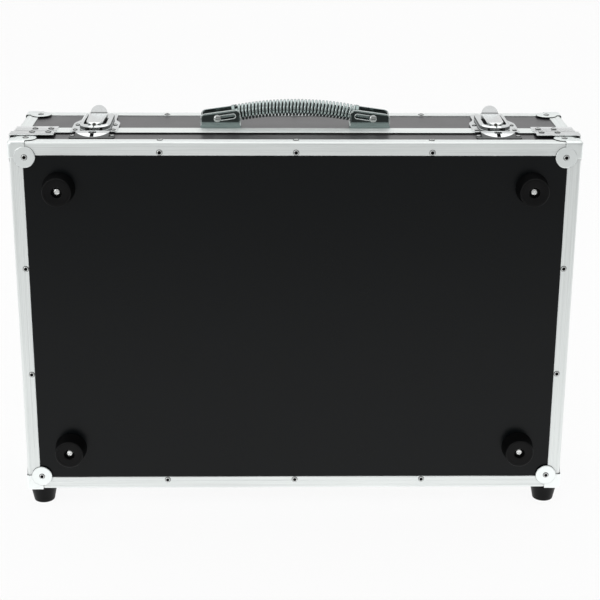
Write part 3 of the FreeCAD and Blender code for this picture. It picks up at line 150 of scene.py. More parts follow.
class Finish:
    # the nodes of a new material, or of a tree that is there, such as the world's
    def __init__(self, name=None, tree=None):
        if tree is None:
            self.material = bpy.data.materials.new(name)
            self.material.use_nodes = True
            tree = self.material.node_tree
        self.tree = tree
        self.tree.nodes.clear()

    def node(self, kind, settings=None, inputs=None, out=0):
        # the settings are set first; each input is a value or a Wire, by its socket's name or number
        made = self.tree.nodes.new("ShaderNode" + kind)
        for key, value in (settings or {}).items():
            setattr(made, key, value)
        pairs = inputs.items() if isinstance(inputs, dict) else enumerate(inputs or ())
        for key, value in pairs:
            if isinstance(value, Wire):
                self.tree.links.new(value.socket, made.inputs[key])
            else:
                made.inputs[key].default_value = value
        return Wire(self, made.outputs[out]) if made.outputs else made

    def place(self, scale=(1, 1, 1), source="Object"):
        # the point on the piece, in metres, stretched by scale
        here = self.node("TexCoord", out=source)
        return self.node("Mapping", {}, {"Vector": here, "Scale": scale})

    def axis(self, name, source="Object"):
        return self.node("SeparateXYZ", {}, {"Vector": self.place(source=source)}, out=name)

    def ray(self, kind):
        return self.node("LightPath", out=f"Is {kind} Ray")

    def painted(self, name):
        return self.node("Attribute", {"attribute_name": name}, out="Fac")

    def noise(self, scale, detail=2, stretch=(1, 1, 1), source="Object", rough=0.5):
        return self.node("TexNoise", {}, {"Vector": self.place(stretch, source), "Scale": scale,
                                          "Detail": detail, "Roughness": rough})

    def mix(self, factor, first, second):
        # a colour mix has its factor at socket 0, its colours at 6 and 7, and its result at 2
        return self.node("Mix", {"data_type": "RGBA"}, {0: factor, 6: first, 7: second}, out=2)

    def clouded(self, clouds, colour, shades):
        # the colour, between a darker and a lighter shade of it
        return self.mix(clouds, shade(colour, shades[0]), shade(colour, shades[1]))

    def bump(self, height, strength, depth):
        # depth is how far a height of 1 stands out, in metres
        return self.node("Bump", {}, {"Height": height, "Strength": strength, "Distance": depth})

    def surface(self, **inputs):
        names = {key.replace("_", " "): value for key, value in inputs.items()}
        shader = self.node("BsdfPrincipled", {}, names)
        self.node("OutputMaterial", {}, {"Surface": shader})
        return self


def shade(colour, factor):
    return tuple(part * factor for part in colour[:3]) + (1,)


# Panel and wall are one laminate; the wall's colour is painted far paler, a painted highlight for the glare
# that the case's top catches
laminate = {
    "panel": {"colour": (0.0011, 0.0020, 0.0025), "roughness": 0.26, "specular": 0.18},
    "wall": {"colour": (0.028, 0.026, 0.029), "roughness": 0.30, "specular": 0.62},
    "clouds": 9, "cloudShades": (0.85, 1.15), "smudges": 24, "smudgeRoughness": 0.1,
    "pebbles": 620, "pebbleBump": (0.45, 0.00014),
    "speckles": (0.58, 0.75), "speckleShade": 1.9, "gapAt": -0.0262, "gapShadow": 0.0011,
}
# the colour of painted shade, mixed in wherever a shade mask says a place lies in shade
paintedShadeColour = (0.006, 0.006, 0.006, 1)


def laminateFinish(name, part):
    # pebbled and speckled, with faint clouds, and with painted shadow in the gap beside the other half
    made = Finish(name)
    pebbles = made.noise(laminate["pebbles"], 3, rough=0.6)
    tint = made.clouded(made.noise(laminate["clouds"], 3), part["colour"], laminate["cloudShades"])
    pale = shade(part["colour"], laminate["speckleShade"])
    speckled = made.mix(pebbles.rising(*laminate["speckles"]), tint, pale)
    # painted shadow along the edge beside the gap
    beside = made.axis("Y").near(laminate["gapAt"], laminate["gapShadow"])
    smudges = made.noise(laminate["smudges"], 4) - 0.5
    return made.surface(**{
        "Base_Color": made.mix(beside, speckled, paintedShadeColour),
        "Roughness": part["roughness"] + laminate["smudgeRoughness"] * smudges,
        "Specular_IOR_Level": part["specular"],
        "Normal": made.bump(pebbles, *laminate["pebbleBump"]),
    })


plating = {
    "clouds": 45, "cloudShades": (0.95, 1.03), "smudges": 12, "smudgeRange": (0.5, 0.75), "hollowDull": 0.5,
}


def metalFinish(name, colour, roughness, mottle=0.06, shadeMask=None, relief=None):
    # plated or polished metal: faint clouds in its colour and gloss; a shade mask gives where painted shade
    # darkens it, and a relief is a pair of a height and how deep it is
    made = Finish(name)
    clouds = made.noise(plating["clouds"], 3)
    smudges = made.noise(plating["smudges"], 4, rough=0.6).rising(*plating["smudgeRange"])
    tint = made.clouded(clouds, colour, plating["cloudShades"])
    roughness = roughness - mottle / 2 + mottle * clouds + mottle * smudges
    if shadeMask:
        # painted shade, with duller gloss, where the mask says
        dark = shadeMask(made)
        tint = made.mix(dark, tint, paintedShadeColour)
        roughness = roughness + plating["hollowDull"] * dark
    inputs = {"Base_Color": tint, "Metallic": 1, "Roughness": roughness}
    if relief:
        inputs["Normal"] = made.bump(relief[0](made), 1, relief[1])
    return made.surface(**inputs)


# Masks, which say where a finish carries painted shade or stands proud; their places are in metres, in the CAD
# frame


def paintedPointShade(made):
    # the painted shade that a rivet's or a cap's points carry
    return made.painted("shadeMask")


latchShade = {
    "place": 0.216, "half": 0.01245, "nose": -0.00325, "tail": 0.0433, "heights": (0.4190, 0.4258),
    "windowHalf": 0.0092, "windowFront": -0.0197, "windowTop": 0.4246,
    "footSides": (0.0162, 0.0170), "footRadius": 0.0166, "footWidth": 0.000012,
    "footHeights": (0.4217, 0.4252), "footShade": 0.8,
}


def latchPaintedShade(made):
    # painted shadow lies inside the raised rim of either latch, in the window under its nose and along the
    # rim's foot, whose outline is a half circle with straight legs
    s = latchShade
    x = made.axis("X").size() - s["place"]
    y = made.axis("Y")
    z = made.axis("Z")
    fromNose = x * x + (y - s["nose"]) ** 2
    along = x.size().below(s["half"]) * y.within(s["nose"], s["tail"])
    window = x.size().below(s["windowHalf"]) * y.within(s["windowFront"], s["nose"]) * z.below(s["windowTop"])
    inside = (along + fromNose.below(s["half"] ** 2) + window).above(0.5) * z.within(*s["heights"])
    side = x.size().within(*s["footSides"]) * y.above(s["nose"])
    arc = fromNose.near(s["footRadius"] ** 2, s["footWidth"]) * y.below(s["nose"])
    foot = (side + arc).above(0.5) * z.within(*s["footHeights"])
    return (inside + s["footShade"] * foot).least(1)


bracketShade = {
    "top": 0.4345, "outer": 0.103, "slope": 0.134, "border": 0.0019, "floor": 0.4262,
    "sides": (0.0610, 0.1010), "shade": 0.85,
}


def bracketPaintedShade(made):
    # either ear carries painted shade inside its border; its top edge falls outwards
    s = bracketShade
    x = made.axis("X").size()
    z = made.axis("Z")
    edge = s["top"] + (s["outer"] - x) * s["slope"] - s["border"]
    return s["shade"] * z.above(s["floor"]) * (edge - z).above(0) * x.within(*s["sides"])


strikeShade = {
    "place": 0.216, "y": -0.0262, "half": 0.0192, "reach": 0.0152, "edge": (0.86, 1.0), "shade": 0.85,
}


def strikePaintedShadow(made):
    # the strike's seat carries painted shadow round its hood, whose outline is a half ellipse
    s = strikeShade
    x = (made.axis("X").size() - s["place"]) / s["half"]
    y = (made.axis("Y") - s["y"]) / s["reach"]
    return s["shade"] * (x * x + y * y).rising(*s["edge"])


capDiscs = {
    "middle": (0, 0.00775, 0.22), "edge": (0.0107, 0.0115),
    "centres": ((0.284, 0.0737, 0.184), (0.3012, 0.0565, 0.184), (0.284, 0.0565, 0.2012)),
}


def capRing(made):
    # the round part of each leaf stands a little proud: the height falls past the disc's radius
    # from whichever disc centre is nearest, with the case folded into one of its corners
    centred = made.node("VectorMath", {"operation": "SUBTRACT"}, [made.place(), capDiscs["middle"]])
    folded = made.node("VectorMath", {"operation": "ABSOLUTE"}, [centred])
    reach = None
    for centre in capDiscs["centres"]:
        away = made.node("VectorMath", {"operation": "DISTANCE"}, [folded, centre], out="Value")
        reach = away if reach is None else reach.least(away)
    return 1 - reach.rising(*capDiscs["edge"])


braceGrooves = {"rows": (-0.0166, 0.0009), "front": (-0.0376, 0.0008), "shade": 0.55}


def braceLines(made):
    # two pressed lines run across each brace, between its rows of rivets and along its front edge
    y = made.axis("Y")
    return y.near(*braceGrooves["rows"]) + y.near(*braceGrooves["front"])


def braceRelief(made):
    return 1 - braceLines(made)


def braceShade(made):
    # painted shade along both pressed lines
    return braceGrooves["shade"] * braceLines(made)


tabFold = {"line": (0.0374, 0.0008), "top": 0.4297, "shade": 0.6}


def leverFoldShade(made):
    # painted shade in the crease where either lever's thumb tab rises from its plate
    return tabFold["shade"] * made.axis("Y").near(*tabFold["line"]) * made.axis("Z").below(tabFold["top"])


closingFront = -0.0200


def closingPaintedShadow(made):
    # the closing profile's stepped front edge carries painted shadow
    return made.axis("Y").below(closingFront)


drawn = {
    "lineRange": (0.3, 0.7), "lineShades": (0.88, 1.05), "clouds": 20, "polish": 0.04, "dull": 0.06,
    "bump": (0.5, 0.00003),
}


def linedFinish(name, colour, roughness, stretch, source="Object", shadeMask=None):
    # drawn metal: fine lines along the way in which the stretch is small
    made = Finish(name)
    lines = made.noise(1, 4, stretch, source, rough=0.65)
    tint = made.clouded(lines.rising(*drawn["lineRange"]), colour, drawn["lineShades"])
    # painted shade where the shade mask says
    if shadeMask:
        tint = made.mix(shadeMask(made), tint, paintedShadeColour)
    return made.surface(**{
        "Base_Color": tint, "Metallic": 1,
        "Roughness": roughness - drawn["polish"] + drawn["dull"] * (made.noise(drawn["clouds"], 3) + lines),
        "Normal": made.bump(lines, *drawn["bump"]),
    })


rubber = {
    "grain": 1400, "grainBump": (0.3, 0.00004), "specular": 0.13,
    "dust": 45, "dustRange": (0.52, 0.8), "dustShade": 1.7, "dustRoughness": 0.12,
}


def rubberFinish(name, colour, roughness):
    # fine grain, with dust in patches
    made = Finish(name)
    dust = made.noise(rubber["dust"], 4, rough=0.65).rising(*rubber["dustRange"])
    return made.surface(**{
        "Base_Color": made.clouded(dust, colour, (1, rubber["dustShade"])),
        "Roughness": roughness + rubber["dustRoughness"] * dust, "Specular_IOR_Level": rubber["specular"],
        "Normal": made.bump(made.noise(rubber["grain"]), *rubber["grainBump"]),
    })


felt = {
    "cells": 1100, "deep": (0.006, 0.006, 0.007, 1), "raised": (0.035, 0.035, 0.038, 1), "sheen": 0.25,
    "patches": 60, "roughness": 0.9, "patchRoughness": 0.05, "bump": (0.9, 0.0006),
}
openFoam = {
    "cells": 900, "deep": (0.010, 0.010, 0.011, 1), "raised": (0.045, 0.045, 0.048, 1), "sheen": 0,
    "patches": 35, "roughness": 0.86, "patchRoughness": 0.08, "bump": (0.6, 0.0004),
}


def liningFinish(name, look, roundCells):
    # tufts of noise, or round cells, paler on their tops and darker in their dips, painted shade that follows
    # the bump
    made = Finish(name)
    if roundCells:
        cells = made.node("TexVoronoi", {}, {"Vector": made.place(), "Scale": look["cells"]}, out="Distance")
    else:
        cells = made.noise(look["cells"], 4, rough=0.7)
    return made.surface(**{
        "Base_Color": made.mix(cells, look["deep"], look["raised"]), "Sheen_Weight": look["sheen"],
        "Roughness": look["roughness"] + look["patchRoughness"] * made.noise(look["patches"], 3),
        "Normal": made.bump(cells, *look["bump"]),
    })


aluminium = (0.83, 0.86, 0.85)
alongUv = (6, 1300, 1)
finishes = {
    "laminate_panel": laminateFinish("panel laminate", laminate["panel"]),
    "laminate_wall": laminateFinish("wall laminate", laminate["wall"]),
    "edge_aluminium": linedFinish("drawn aluminium", aluminium, 0.54, alongUv, "UV"),
    "closing_aluminium": linedFinish("closing aluminium", aluminium, 0.54, alongUv, "UV", closingPaintedShadow),
    "post_aluminium": linedFinish("post aluminium", aluminium, 0.54, (1300, 6, 1300)),
    "nickel_steel": metalFinish("nickel plate", (0.88, 0.92, 0.91), 0.38, 0.10, paintedPointShade,
                                (capRing, 0.0004)),
    "brace_steel": metalFinish("brace plate", (0.92, 0.94, 0.94), 0.28, 0.08, braceShade,
                               (braceRelief, 0.0006)),
    "rivet_steel": metalFinish("rivet plate", (0.72, 0.74, 0.73), 0.16, shadeMask=paintedPointShade),
    "pin_steel": metalFinish("pin plate", (0.45, 0.47, 0.46), 0.14),
    "latch_chrome": metalFinish("latch chrome", (0.82, 0.85, 0.85), 0.12, 0.05, latchPaintedShade),
    "strike_chrome": metalFinish("strike chrome", (0.82, 0.85, 0.85), 0.12, 0.05, strikePaintedShadow),
    "claw_chrome": metalFinish("claw chrome", (0.62, 0.64, 0.64), 0.16, 0.05),
    "lever_chrome": linedFinish("lever chrome", (0.86, 0.88, 0.88), 0.20, (1500, 9, 1500), shadeMask=leverFoldShade),
    "lock_brass": metalFinish("lock plug", (0.10, 0.10, 0.09), 0.35),
    "handle_nickel": metalFinish("handle nickel", (0.30, 0.36, 0.35), 0.16, 0.06),
    "bracket_nickel": metalFinish("bracket nickel", (0.26, 0.32, 0.31), 0.16, 0.06, bracketPaintedShade),
    # the rims' nickel is painted much paler than the handle's, a painted highlight along the slot and ear edges
    "slot_nickel": metalFinish("slot nickel", (0.62, 0.66, 0.65), 0.14, 0.05),
    "spring_nickel": metalFinish("spring nickel", (0.42, 0.48, 0.47), 0.14, 0.05),
    "handle_core_rubber": rubberFinish("grip core", (0.012, 0.013, 0.013, 1), 0.5),
    "hinge_steel": linedFinish("hinge steel", (0.62, 0.63, 0.63), 0.30, (9, 1500, 1500)),
    "screw_steel": metalFinish("screw zinc", (0.86, 0.87, 0.86), 0.25),
    "foot_rubber": rubberFinish("foot rubber", (0.0020, 0.0021, 0.0023, 1), 0.40),
    "carpet": liningFinish("needle felt", felt, roundCells=False),
    "foam": liningFinish("open foam", openFoam, roundCells=True),
}
print("materials made")

# Meshes


def newMesh(name, points, faces):
    mesh = bpy.data.meshes.new(name)
    mesh.from_pydata(points.tolist(), [], faces.tolist())
    return mesh


def placed(name, data):
    made = bpy.data.objects.new(name, data)
    bpy.context.scene.collection.objects.link(made)
    return made


def gridQuads(rows, columns, roundRows=False, roundColumns=False):
    # each quad joins grid points (i, j), (i, j + 1), (i + 1, j + 1) and (i + 1, j), wrapping a round way
    i = np.arange(rows if roundRows else rows - 1)[:, None]
    j = np.arange(columns if roundColumns else columns - 1)[None, :]
    nextI = (i + 1) % rows
    nextJ = (j + 1) % columns
    corners = (i * columns + j, i * columns + nextJ, nextI * columns + nextJ, nextI * columns + j)
    return np.stack(np.broadcast_arrays(*corners), -1).reshape(-1, 4)


def joined(parts):
    # all parts' points in one list, each part's faces counted on from the points before it
    starts = np.cumsum([0] + [len(points) for points, _ in parts[:-1]])
    points = np.concatenate([points for points, _ in parts])
    faces = np.concatenate([faces + start for (_, faces), start in zip(parts, starts)])
    return points, faces


mergeDistance = 2e-6
softEdge = {"angle": 0.6, "flat": 0.01}


def addPiece(name, mesh, finish, body, replaced):
    # a mesh as a piece of the object; a body of None leaves it unattached
    piece = placed(name, mesh)
    mesh.materials.clear()
    mesh.materials.append(finishes[finish].material)
    if body:
        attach(piece, body)
    if replaced:
        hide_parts(*replaced)
    return piece


def cleaned(mesh, crease, flat=0):
    # doubles merged, faces within the angle flat joined, turned outwards, smooth up to the crease angle
    work = bmesh.new()
    work.from_mesh(mesh)
    bmesh.ops.remove_doubles(work, verts=work.verts, dist=mergeDistance)
    if flat:
        bmesh.ops.dissolve_limit(work, angle_limit=flat, verts=work.verts, edges=work.edges)
    bmesh.ops.recalc_face_normals(work, faces=work.faces)
    work.to_mesh(mesh)
    work.free()
    mesh.shade_smooth()
    mesh.set_sharp_from_angle(angle=crease)


def makePiece(name, parts, finish, body, replaced=(), crease=0.6, uv=None, shadeMask=None):
    # parts in case millimetres; uv and the shade mask give each point its place along the metal and its painted
    # shade
    points, faces = joined(parts)
    mesh = newMesh(name, toFrame(points), faces)
    if uv is not None:
        layer = mesh.uv_layers.new(name="along")
        layer.data.foreach_set("uv", (uv[faces.ravel()] * millimetre).ravel().astype(np.float32))
    if shadeMask is not None:
        paint = mesh.attributes.new("shadeMask", "FLOAT", "POINT")
        paint.data.foreach_set("value", np.asarray(shadeMask, np.float32))
    cleaned(mesh, crease)
    return addPiece(name, mesh, finish, body, replaced)


def refined(node, finish, width, steps=2):
    # the node's own surface, its triangles joined into flat faces and its edges rounded by width
    source = nodes[node].data
    points = np.empty(len(source.vertices) * 3)
    source.vertices.foreach_get("co", points)
    corners = np.empty(len(source.loops), int)
    source.loops.foreach_get("vertex_index", corners)
    mesh = newMesh(node + "_refined", points.reshape(-1, 3), corners.reshape(-1, 3))
    cleaned(mesh, softEdge["angle"], softEdge["flat"])
    piece = addPiece(node + "_refined", mesh, finish, nodes[node]["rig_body"], (node,))
    bevel = piece.modifiers.new("rounded edges", "BEVEL")
    bevel.width = width * millimetre
    bevel.segments = steps
    bevel.limit_method = "ANGLE"
    bevel.angle_limit = softEdge["angle"]
    bevel.use_clamp_overlap = True
    bevel.harden_normals = True


def lathe(profile, sides):
    # point (i, j) is radius_i round the Z axis at angle 2 pi j / sides, at height_i
    profile = np.asarray(profile, float)
    angle = 2 * np.pi * np.arange(sides) / sides
    x = profile[:, :1] * np.cos(angle)
    y = profile[:, :1] * np.sin(angle)
    z = np.broadcast_to(profile[:, 1:], x.shape)
    return np.stack([x, y, z], -1).reshape(-1, 3), gridQuads(len(profile), sides, False, True)


def seated(part, at, out):
    # the part turned so that its Z axis points along out, and moved to at
    points, faces = part
    out = np.asarray(out, float) / np.linalg.norm(out)
    across = np.cross(out, (0, 1, 0) if abs(out[1]) < 0.9 else (1, 0, 0))
    across /= np.linalg.norm(across)
    return points @ np.array([across, np.cross(out, across), out]) + np.asarray(at, float), faces


def carried(path, side, section, closed=False):
    # at each point of the path the section's first figure goes along the side vector, made square
    # to the path, and its second along the cross product of the path's direction and that
    path = np.asarray(path, float)
    ahead = (np.roll(path, -1, 0) - np.roll(path, 1, 0)) if closed else np.gradient(path, axis=0)
    ahead /= np.linalg.norm(ahead, axis=1, keepdims=True)
    side = side - (side * ahead).sum(1, keepdims=True) * ahead
    side /= np.linalg.norm(side, axis=1, keepdims=True)
    over = np.cross(ahead, side)
    section = np.asarray(section, float)
    points = path[:, None] + section[None, :, :1] * side[:, None] + section[None, :, 1:] * over[:, None]
    faces = gridQuads(len(path), len(section), closed, True)
    points = points.reshape(-1, 3)
    if closed:
        return points, faces
    return closedEnds(points, faces, len(section))


def closedEnds(points, faces, count):
    # each open end gets its middle as a point, and quads that fold into it
    first = points[:count].mean(0)
    last = points[-count:].mean(0)
    middle = len(points)
    here = np.arange(count)
    after = (here + 1) % count
    front = np.stack([here, after, np.full(count, middle), np.full(count, middle + 1)], -1)
    back = np.stack([here, after, np.full(count, middle + 2), np.full(count, middle + 3)], -1)
    back[:, :2] += middle - count
    return np.concatenate([points, [first, first, last, last]]), np.concatenate([faces, front, back])


def ring(radius, count, stretch=1):
    # a circle's points (r cos a, r sin a), the second figure times stretch
    angle = 2 * np.pi * np.arange(count) / count
    return np.stack([radius * np.cos(angle), radius * stretch * np.sin(angle)], -1)


def bend(middle, radius, start, end, count):
    # an arc's points middle + radius (cos a, sin a), with a from start to end in degrees
    angle = np.radians(np.linspace(start, end, count))
    return [(middle[0] + radius * math.cos(a), middle[1] + radius * math.sin(a)) for a in angle]


# Aluminium profiles: each is one section carried round the case, mitred at its four corners.
# A section gives how far a point lies inwards from the case's outer faces, and its Y.

profile = {
    "leg": 14.3, "thickness": 1.2, "round": 2.6, "lip": 0.7,
    "grooves": (4.1, 9.6), "grooveWidth": 0.55, "grooveDepth": 0.16,
    "roundPoints": 7, "lipPoints": 4, "lineSpacing": 1000, "lineShift": 60,
}


def groovedRun(start, end):
    # distances along a leg with a shallow groove at each of its places: (distance, depth)
    run = [(start, 0)]
    for at in profile["grooves"]:
        half = profile["grooveWidth"] / 2
        run += [(at - half, 0), (at - half / 2, profile["grooveDepth"]),
                (at + half / 2, profile["grooveDepth"]), (at + half, 0)]
    return run + [(end, 0)]


def angleSection(face, inwards):
    # the L of an edge profile whose large leg lies on the plane y = face
    t, leg, lip, r = (profile[key] for key in ("thickness", "leg", "lip", "round"))
    run = groovedRun(r, leg - lip)
    arc = bend((r, r), r, 270, 180, profile["roundPoints"])
    section = [(leg, t)] + bend((leg - lip, lip), lip, 0, -90, profile["lipPoints"])
    section += run[-2::-1] + arc[1:-1] + [(deep, along) for along, deep in run[:-1]]
    section += bend((lip, leg - lip), lip, 180, 90, profile["lipPoints"]) + [(t, leg), (t, t)]
    return np.array([(p, face + inwards * q) for p, q in section])


def carriedRound(section):
    # with sx and sz the signs of a corner of the case, of width W and height H, a section's point
    # (p, y) goes to (sx (W/2 - p), y, H/2 + sz (H/2 - p))
    signs = np.array([(-1, -1), (1, -1), (1, 1), (-1, 1)], float)
    p = section[:, 0]
    x = signs[:, :1] * (halfWidth - p)
    z = top / 2 + signs[:, 1:] * (top / 2 - p)
    y = np.broadcast_to(section[:, 1], x.shape)
    return np.stack([x, y, z], -1)


def frameLoop(name, section, finish, body, replaced):
    # each side of the loop is a strip of its own, so that its lines run along it
    corners = carriedRound(section)
    steps = np.linalg.norm(np.diff(section, axis=0), axis=1)
    across = np.concatenate([[0], np.cumsum(steps)])
    parts = []
    along = []
    for side in range(4):
        ends = corners[[side, (side + 1) % 4]]
        length = np.linalg.norm(ends[0] - ends[1], axis=1)
        parts.append((ends.reshape(-1, 3), gridQuads(2, len(section), False, True)))
        start = side * profile["lineSpacing"]
        beside = across + side * profile["lineShift"]
        along += [np.stack([np.full(len(section), start), beside], -1), np.stack([start + length, beside], -1)]
    uv = np.concatenate(along)
    piece = makePiece(name, parts, finish, body, replaced, crease=0.5, uv=uv)
    weighted = piece.modifiers.new("flat legs", "WEIGHTED_NORMAL")
    weighted.keep_sharp = True


frameSides = ("top", "bottom", "left", "right")
frameLoop("board_edging", angleSection(0, 1), "edge_aluminium", "base",
          ["base_edge_" + side for side in frameSides])
frameLoop("lid_edging", angleSection(case["depth"], -1), "edge_aluminium", "lid",
          ["lid_edge_" + side for side in frameSides])

closing = {
    "width": 27, "skin": 7.2, "return": 12, "corner": 0.9, "step": 3.4, "stepDepth": 1.6,
    "lastGroove": (19.2, 19.4, 19.7, 19.9),
}


def closingSection():
    # the wide closing profile: a stepped front edge, its outer face and a short return inside
    t, lip, r, width = profile["thickness"], profile["lip"], closing["corner"], closing["width"]
    y, step, deep = case["lidStart"], closing["step"], closing["stepDepth"]
    run = groovedRun(step + r, width - lip)
    outer = [(depth, y + along) for along, depth in run[:-1] if along > step + r]
    lastDepths = (0, profile["grooveDepth"], profile["grooveDepth"], 0)
    outer += [(depth, y + along) for along, depth in zip(closing["lastGroove"], lastDepths)]
    section = [(deep, y), (deep, y + step)] + bend((r, y + step + r), r, 270, 180, 5) + outer
    section += bend((lip, y + width - lip), lip, 180, 90, profile["lipPoints"])
    section += [(t, y + width), (deep + t, y + t), (closing["skin"], y + t)]
    section += [(closing["skin"], y + closing["return"]), (closing["skin"] + t, y + closing["return"])]
    return np.array(section + [(closing["skin"] + t, y)])


frameLoop("closing_profile", closingSection(), "closing_aluminium", "lid", ("lid_closing_profiles",))
print("profiles made")

# Rivets: domed heads with a hollow middle

up = (0, 0, 1)
down = (0, 0, -1)
right = (1, 0, 0)
sheetSteel = 1.2
rivetHead = {"radius": 3, "smallRadius": 2.4, "height": 1.1, "sides": 20}
edgeRow = {"along": (-143, 0, 143), "heights": (139, 261), "inset": 11}
capInset = 16
braceRow = {"along": (20, 37), "upper": ((36.2, 2.9), (59, sheetSteel)), "lower": (45.2, 61.2)}
hingeRow = {"x": 200, "along": (-20, 0, 20), "leafY": 14.45, "baseSeat": -0.4, "lidSeat": -1.6}


def mirrored(places):
    # each place is a point and the way that its piece looks; first all on the left, then on the right
    return [((sign * x, y, z), (sign * lookX, lookY, lookZ))
            for sign in (-1, 1) for (x, y, z), (lookX, lookY, lookZ) in places]


def rivetProfile(radius):
    # a low dome whose height follows an ellipse, with a hollow in its middle; the third figure paints shade
    # into the hollow and along the line where the dome meets its surface
    share = np.array([0, 1.1, 1.08, 0.98, 0.92, 0.84, 0.72, 0.64, 0.60, 0.58, 0])
    height = np.array([0, 0, 0.12, 0.20, 0.60, 0.86, 1.0, 0.98, 0.62, 0.05, 0])
    dark = np.array([1, 1, 1, 1, 0.5, 0, 0, 0.1, 1, 1, 1])
    return np.stack([share * radius, height * rivetHead["height"], dark], -1)


def rivetRow(name, places, body, replaced, radius=rivetHead["radius"]):
    profileLine = rivetProfile(radius)
    head = lathe(profileLine[:, :2], rivetHead["sides"])
    shadeMask = np.tile(np.repeat(profileLine[:, 2], rivetHead["sides"]), len(places))
    parts = [seated(head, at, out) for at, out in places]
    makePiece(name, parts, "rivet_steel", body, (replaced,), shadeMask=shadeMask)


def edgeRivets(face, out):
    # on the large face at y = face, which looks along out, and beside it on the narrow sides
    inset = edgeRow["inset"]
    beside = face - out * inset
    places = []
    for x in edgeRow["along"]:
        places += [((x, face, z), (0, out, 0)) for z in (inset, top - inset)]
        places += [((x, beside, top), up), ((x, beside, 0), down)]
    for z in edgeRow["heights"]:
        places += mirrored([((halfWidth - inset, face, z), (0, out, 0)), ((halfWidth, beside, z), right)])
    return places


def capRivets(face, out):
    # one on each leaf, apart from the leaves underneath
    x, beside = halfWidth - capInset, face - out * capInset
    places = []
    for z in (capInset, top - capInset):
        places += [((x, face + out * sheetSteel, z), (0, out, 0)), ((halfWidth + sheetSteel, beside, z), right)]
    return mirrored(places + [((x, beside, top + sheetSteel), up)])


def braceRivets():
    # each upper row is a pair of its Y and its seat: the front row sits on the raised lip
    places = []
    for along in braceRow["along"]:
        for y, seat in braceRow["upper"]:
            places += [((halfWidth - along, y, top + seat), up), ((halfWidth + seat, y, top - along), right)]
        for y in braceRow["lower"]:
            places += [((halfWidth - along, y, -sheetSteel), down), ((halfWidth + sheetSteel, y, along), right)]
    return mirrored(places)


def hingeRivets(way, height):
    # along the base's leaves, where way is -1, or the lid's, where it is 1
    y = (case["baseEnd"] + case["lidStart"]) / 2 + way * hingeRow["leafY"]
    return mirrored([((hingeRow["x"] + along, y, height), down) for along in hingeRow["along"]])


boardRivets = edgeRivets(0, -1) + capRivets(0, -1) + hingeRivets(-1, hingeRow["baseSeat"])
coverRivets = edgeRivets(case["depth"], 1) + capRivets(case["depth"], 1) + braceRivets()
coverRivets += hingeRivets(1, hingeRow["lidSeat"])
rivetRow("board_rivets", boardRivets, "base", "base_rivets")
rivetRow("lid_rivet_heads", coverRivets, "lid", "lid_rivets")

latch = {
    "x": 216, "start": 43.7, "plateSide": 20.4, "plateRows": (8.3, 31.3), "plateSeat": 1.4,
    "strikeSide": 21, "strikeY": 30.2, "strikeSeat": -0.2,
}
bracket = {"start": 59, "along": (14.7, 36.7), "y": 80.5, "seat": 3}
plateRivets = mirrored([
    ((latch["x"] + way * latch["plateSide"], latch["start"] + y, top + latch["plateSeat"]), up)
    for way in (-1, 1) for y in latch["plateRows"]])
strikeRivets = mirrored([
    ((latch["x"] + way * latch["strikeSide"], latch["strikeY"], top + latch["strikeSeat"]), up)
    for way in (-1, 1)])
bracketRivets = mirrored([
    ((bracket["start"] + along, bracket["y"], top + bracket["seat"]), up) for along in bracket["along"]])
rivetRow("latch_rivets", plateRivets, "lid", "latch_plate_rivets", rivetHead["smallRadius"])
rivetRow("strike_rivet_heads", strikeRivets, "base", "strike_rivets", rivetHead["smallRadius"])
rivetRow("bracket_rivets", bracketRivets, "lid", "handle_bracket_rivets", rivetHead["smallRadius"])
print("rivets made")

# Feet: rubber turned to a round edge, with a deep recess for the screw

boardFoot = {
    "height": 19, "base": 17.5, "tip": 15.4, "recess": 5.8, "floor": 12.6, "sides": 64,
    "x": 250, "inset": 50, "seat": 1.2,
}
standFoot = {
    "height": 18.8, "base": 15.2, "tip": 11.4, "recess": 5.8, "floor": 6, "sides": 56,
    "x": 285, "inset": 16.4, "seat": -1.2,
}
turned = {
    "round": 1.2, "groove": ((2.6, 0), (2.9, 0.35), (3.4, 0.4)), "lip": 0.8, "lipDrop": 1.2, "edge": 0.4,
    "seatEdge": 0.5, "low": 4,
}


def footProfile(foot):
    # from the seat out, along the side, round the tip's edge, over a shallow ring groove, down the
    # recess and back to the middle
    base, tip, h, recess, floor = (foot[key] for key in ("base", "tip", "height", "recess", "floor"))
    slope = (base - tip) / h
    r, lip, edge = turned["round"], turned["lip"], turned["edge"]
    side = [(0, 0), (base - edge, 0), (base, turned["seatEdge"])]
    side.append((base - slope * turned["low"], turned["low"]))
    side += bend((tip - r + slope * r, h - r), r, 0, 90, 8)
    side += [(tip - inwards, h - drop) for inwards, drop in turned["groove"]]
    side += bend((recess + lip, h - turned["lipDrop"]), lip, 90, 180, 5)
    return side + [(recess, floor + edge), (recess - edge, floor), (0, floor)]


def footRow(name, foot, places, body, replaced):
    # one turned foot at each place
    part = lathe(footProfile(foot), foot["sides"])
    parts = [seated(part, at, out) for at, out in places]
    makePiece(name, parts, "foot_rubber", body, (replaced,), crease=0.7)


def standPlaces(y):
    return mirrored([((standFoot["x"], y, standFoot["seat"]), down)])


boardHeights = (boardFoot["inset"], top - boardFoot["inset"])
boardFeet = mirrored([((boardFoot["x"], boardFoot["seat"], z), (0, -1, 0)) for z in boardHeights])
frontFeet = standPlaces(standFoot["inset"])
backFeet = standPlaces(case["depth"] - standFoot["inset"])
footRow("board_feet_rubber", boardFoot, boardFeet, "base", "board_feet")
footRow("stand_feet_front", standFoot, frontFeet, "base", "base_stand_feet")
footRow("stand_feet_back", standFoot, backFeet, "lid", "lid_stand_feet")

screw = {
    "radius": 4.6, "height": 2.8, "fall": 0.75, "sides": 64, "edgeRings": (0.87, 0.93, 0.98, 1),
    "cross": 2.6, "crossWidth": 0.55, "crossShares": (1.3, 0.4), "crossDepth": 1.3, "crossEdges": (0.12, 0.3),
}


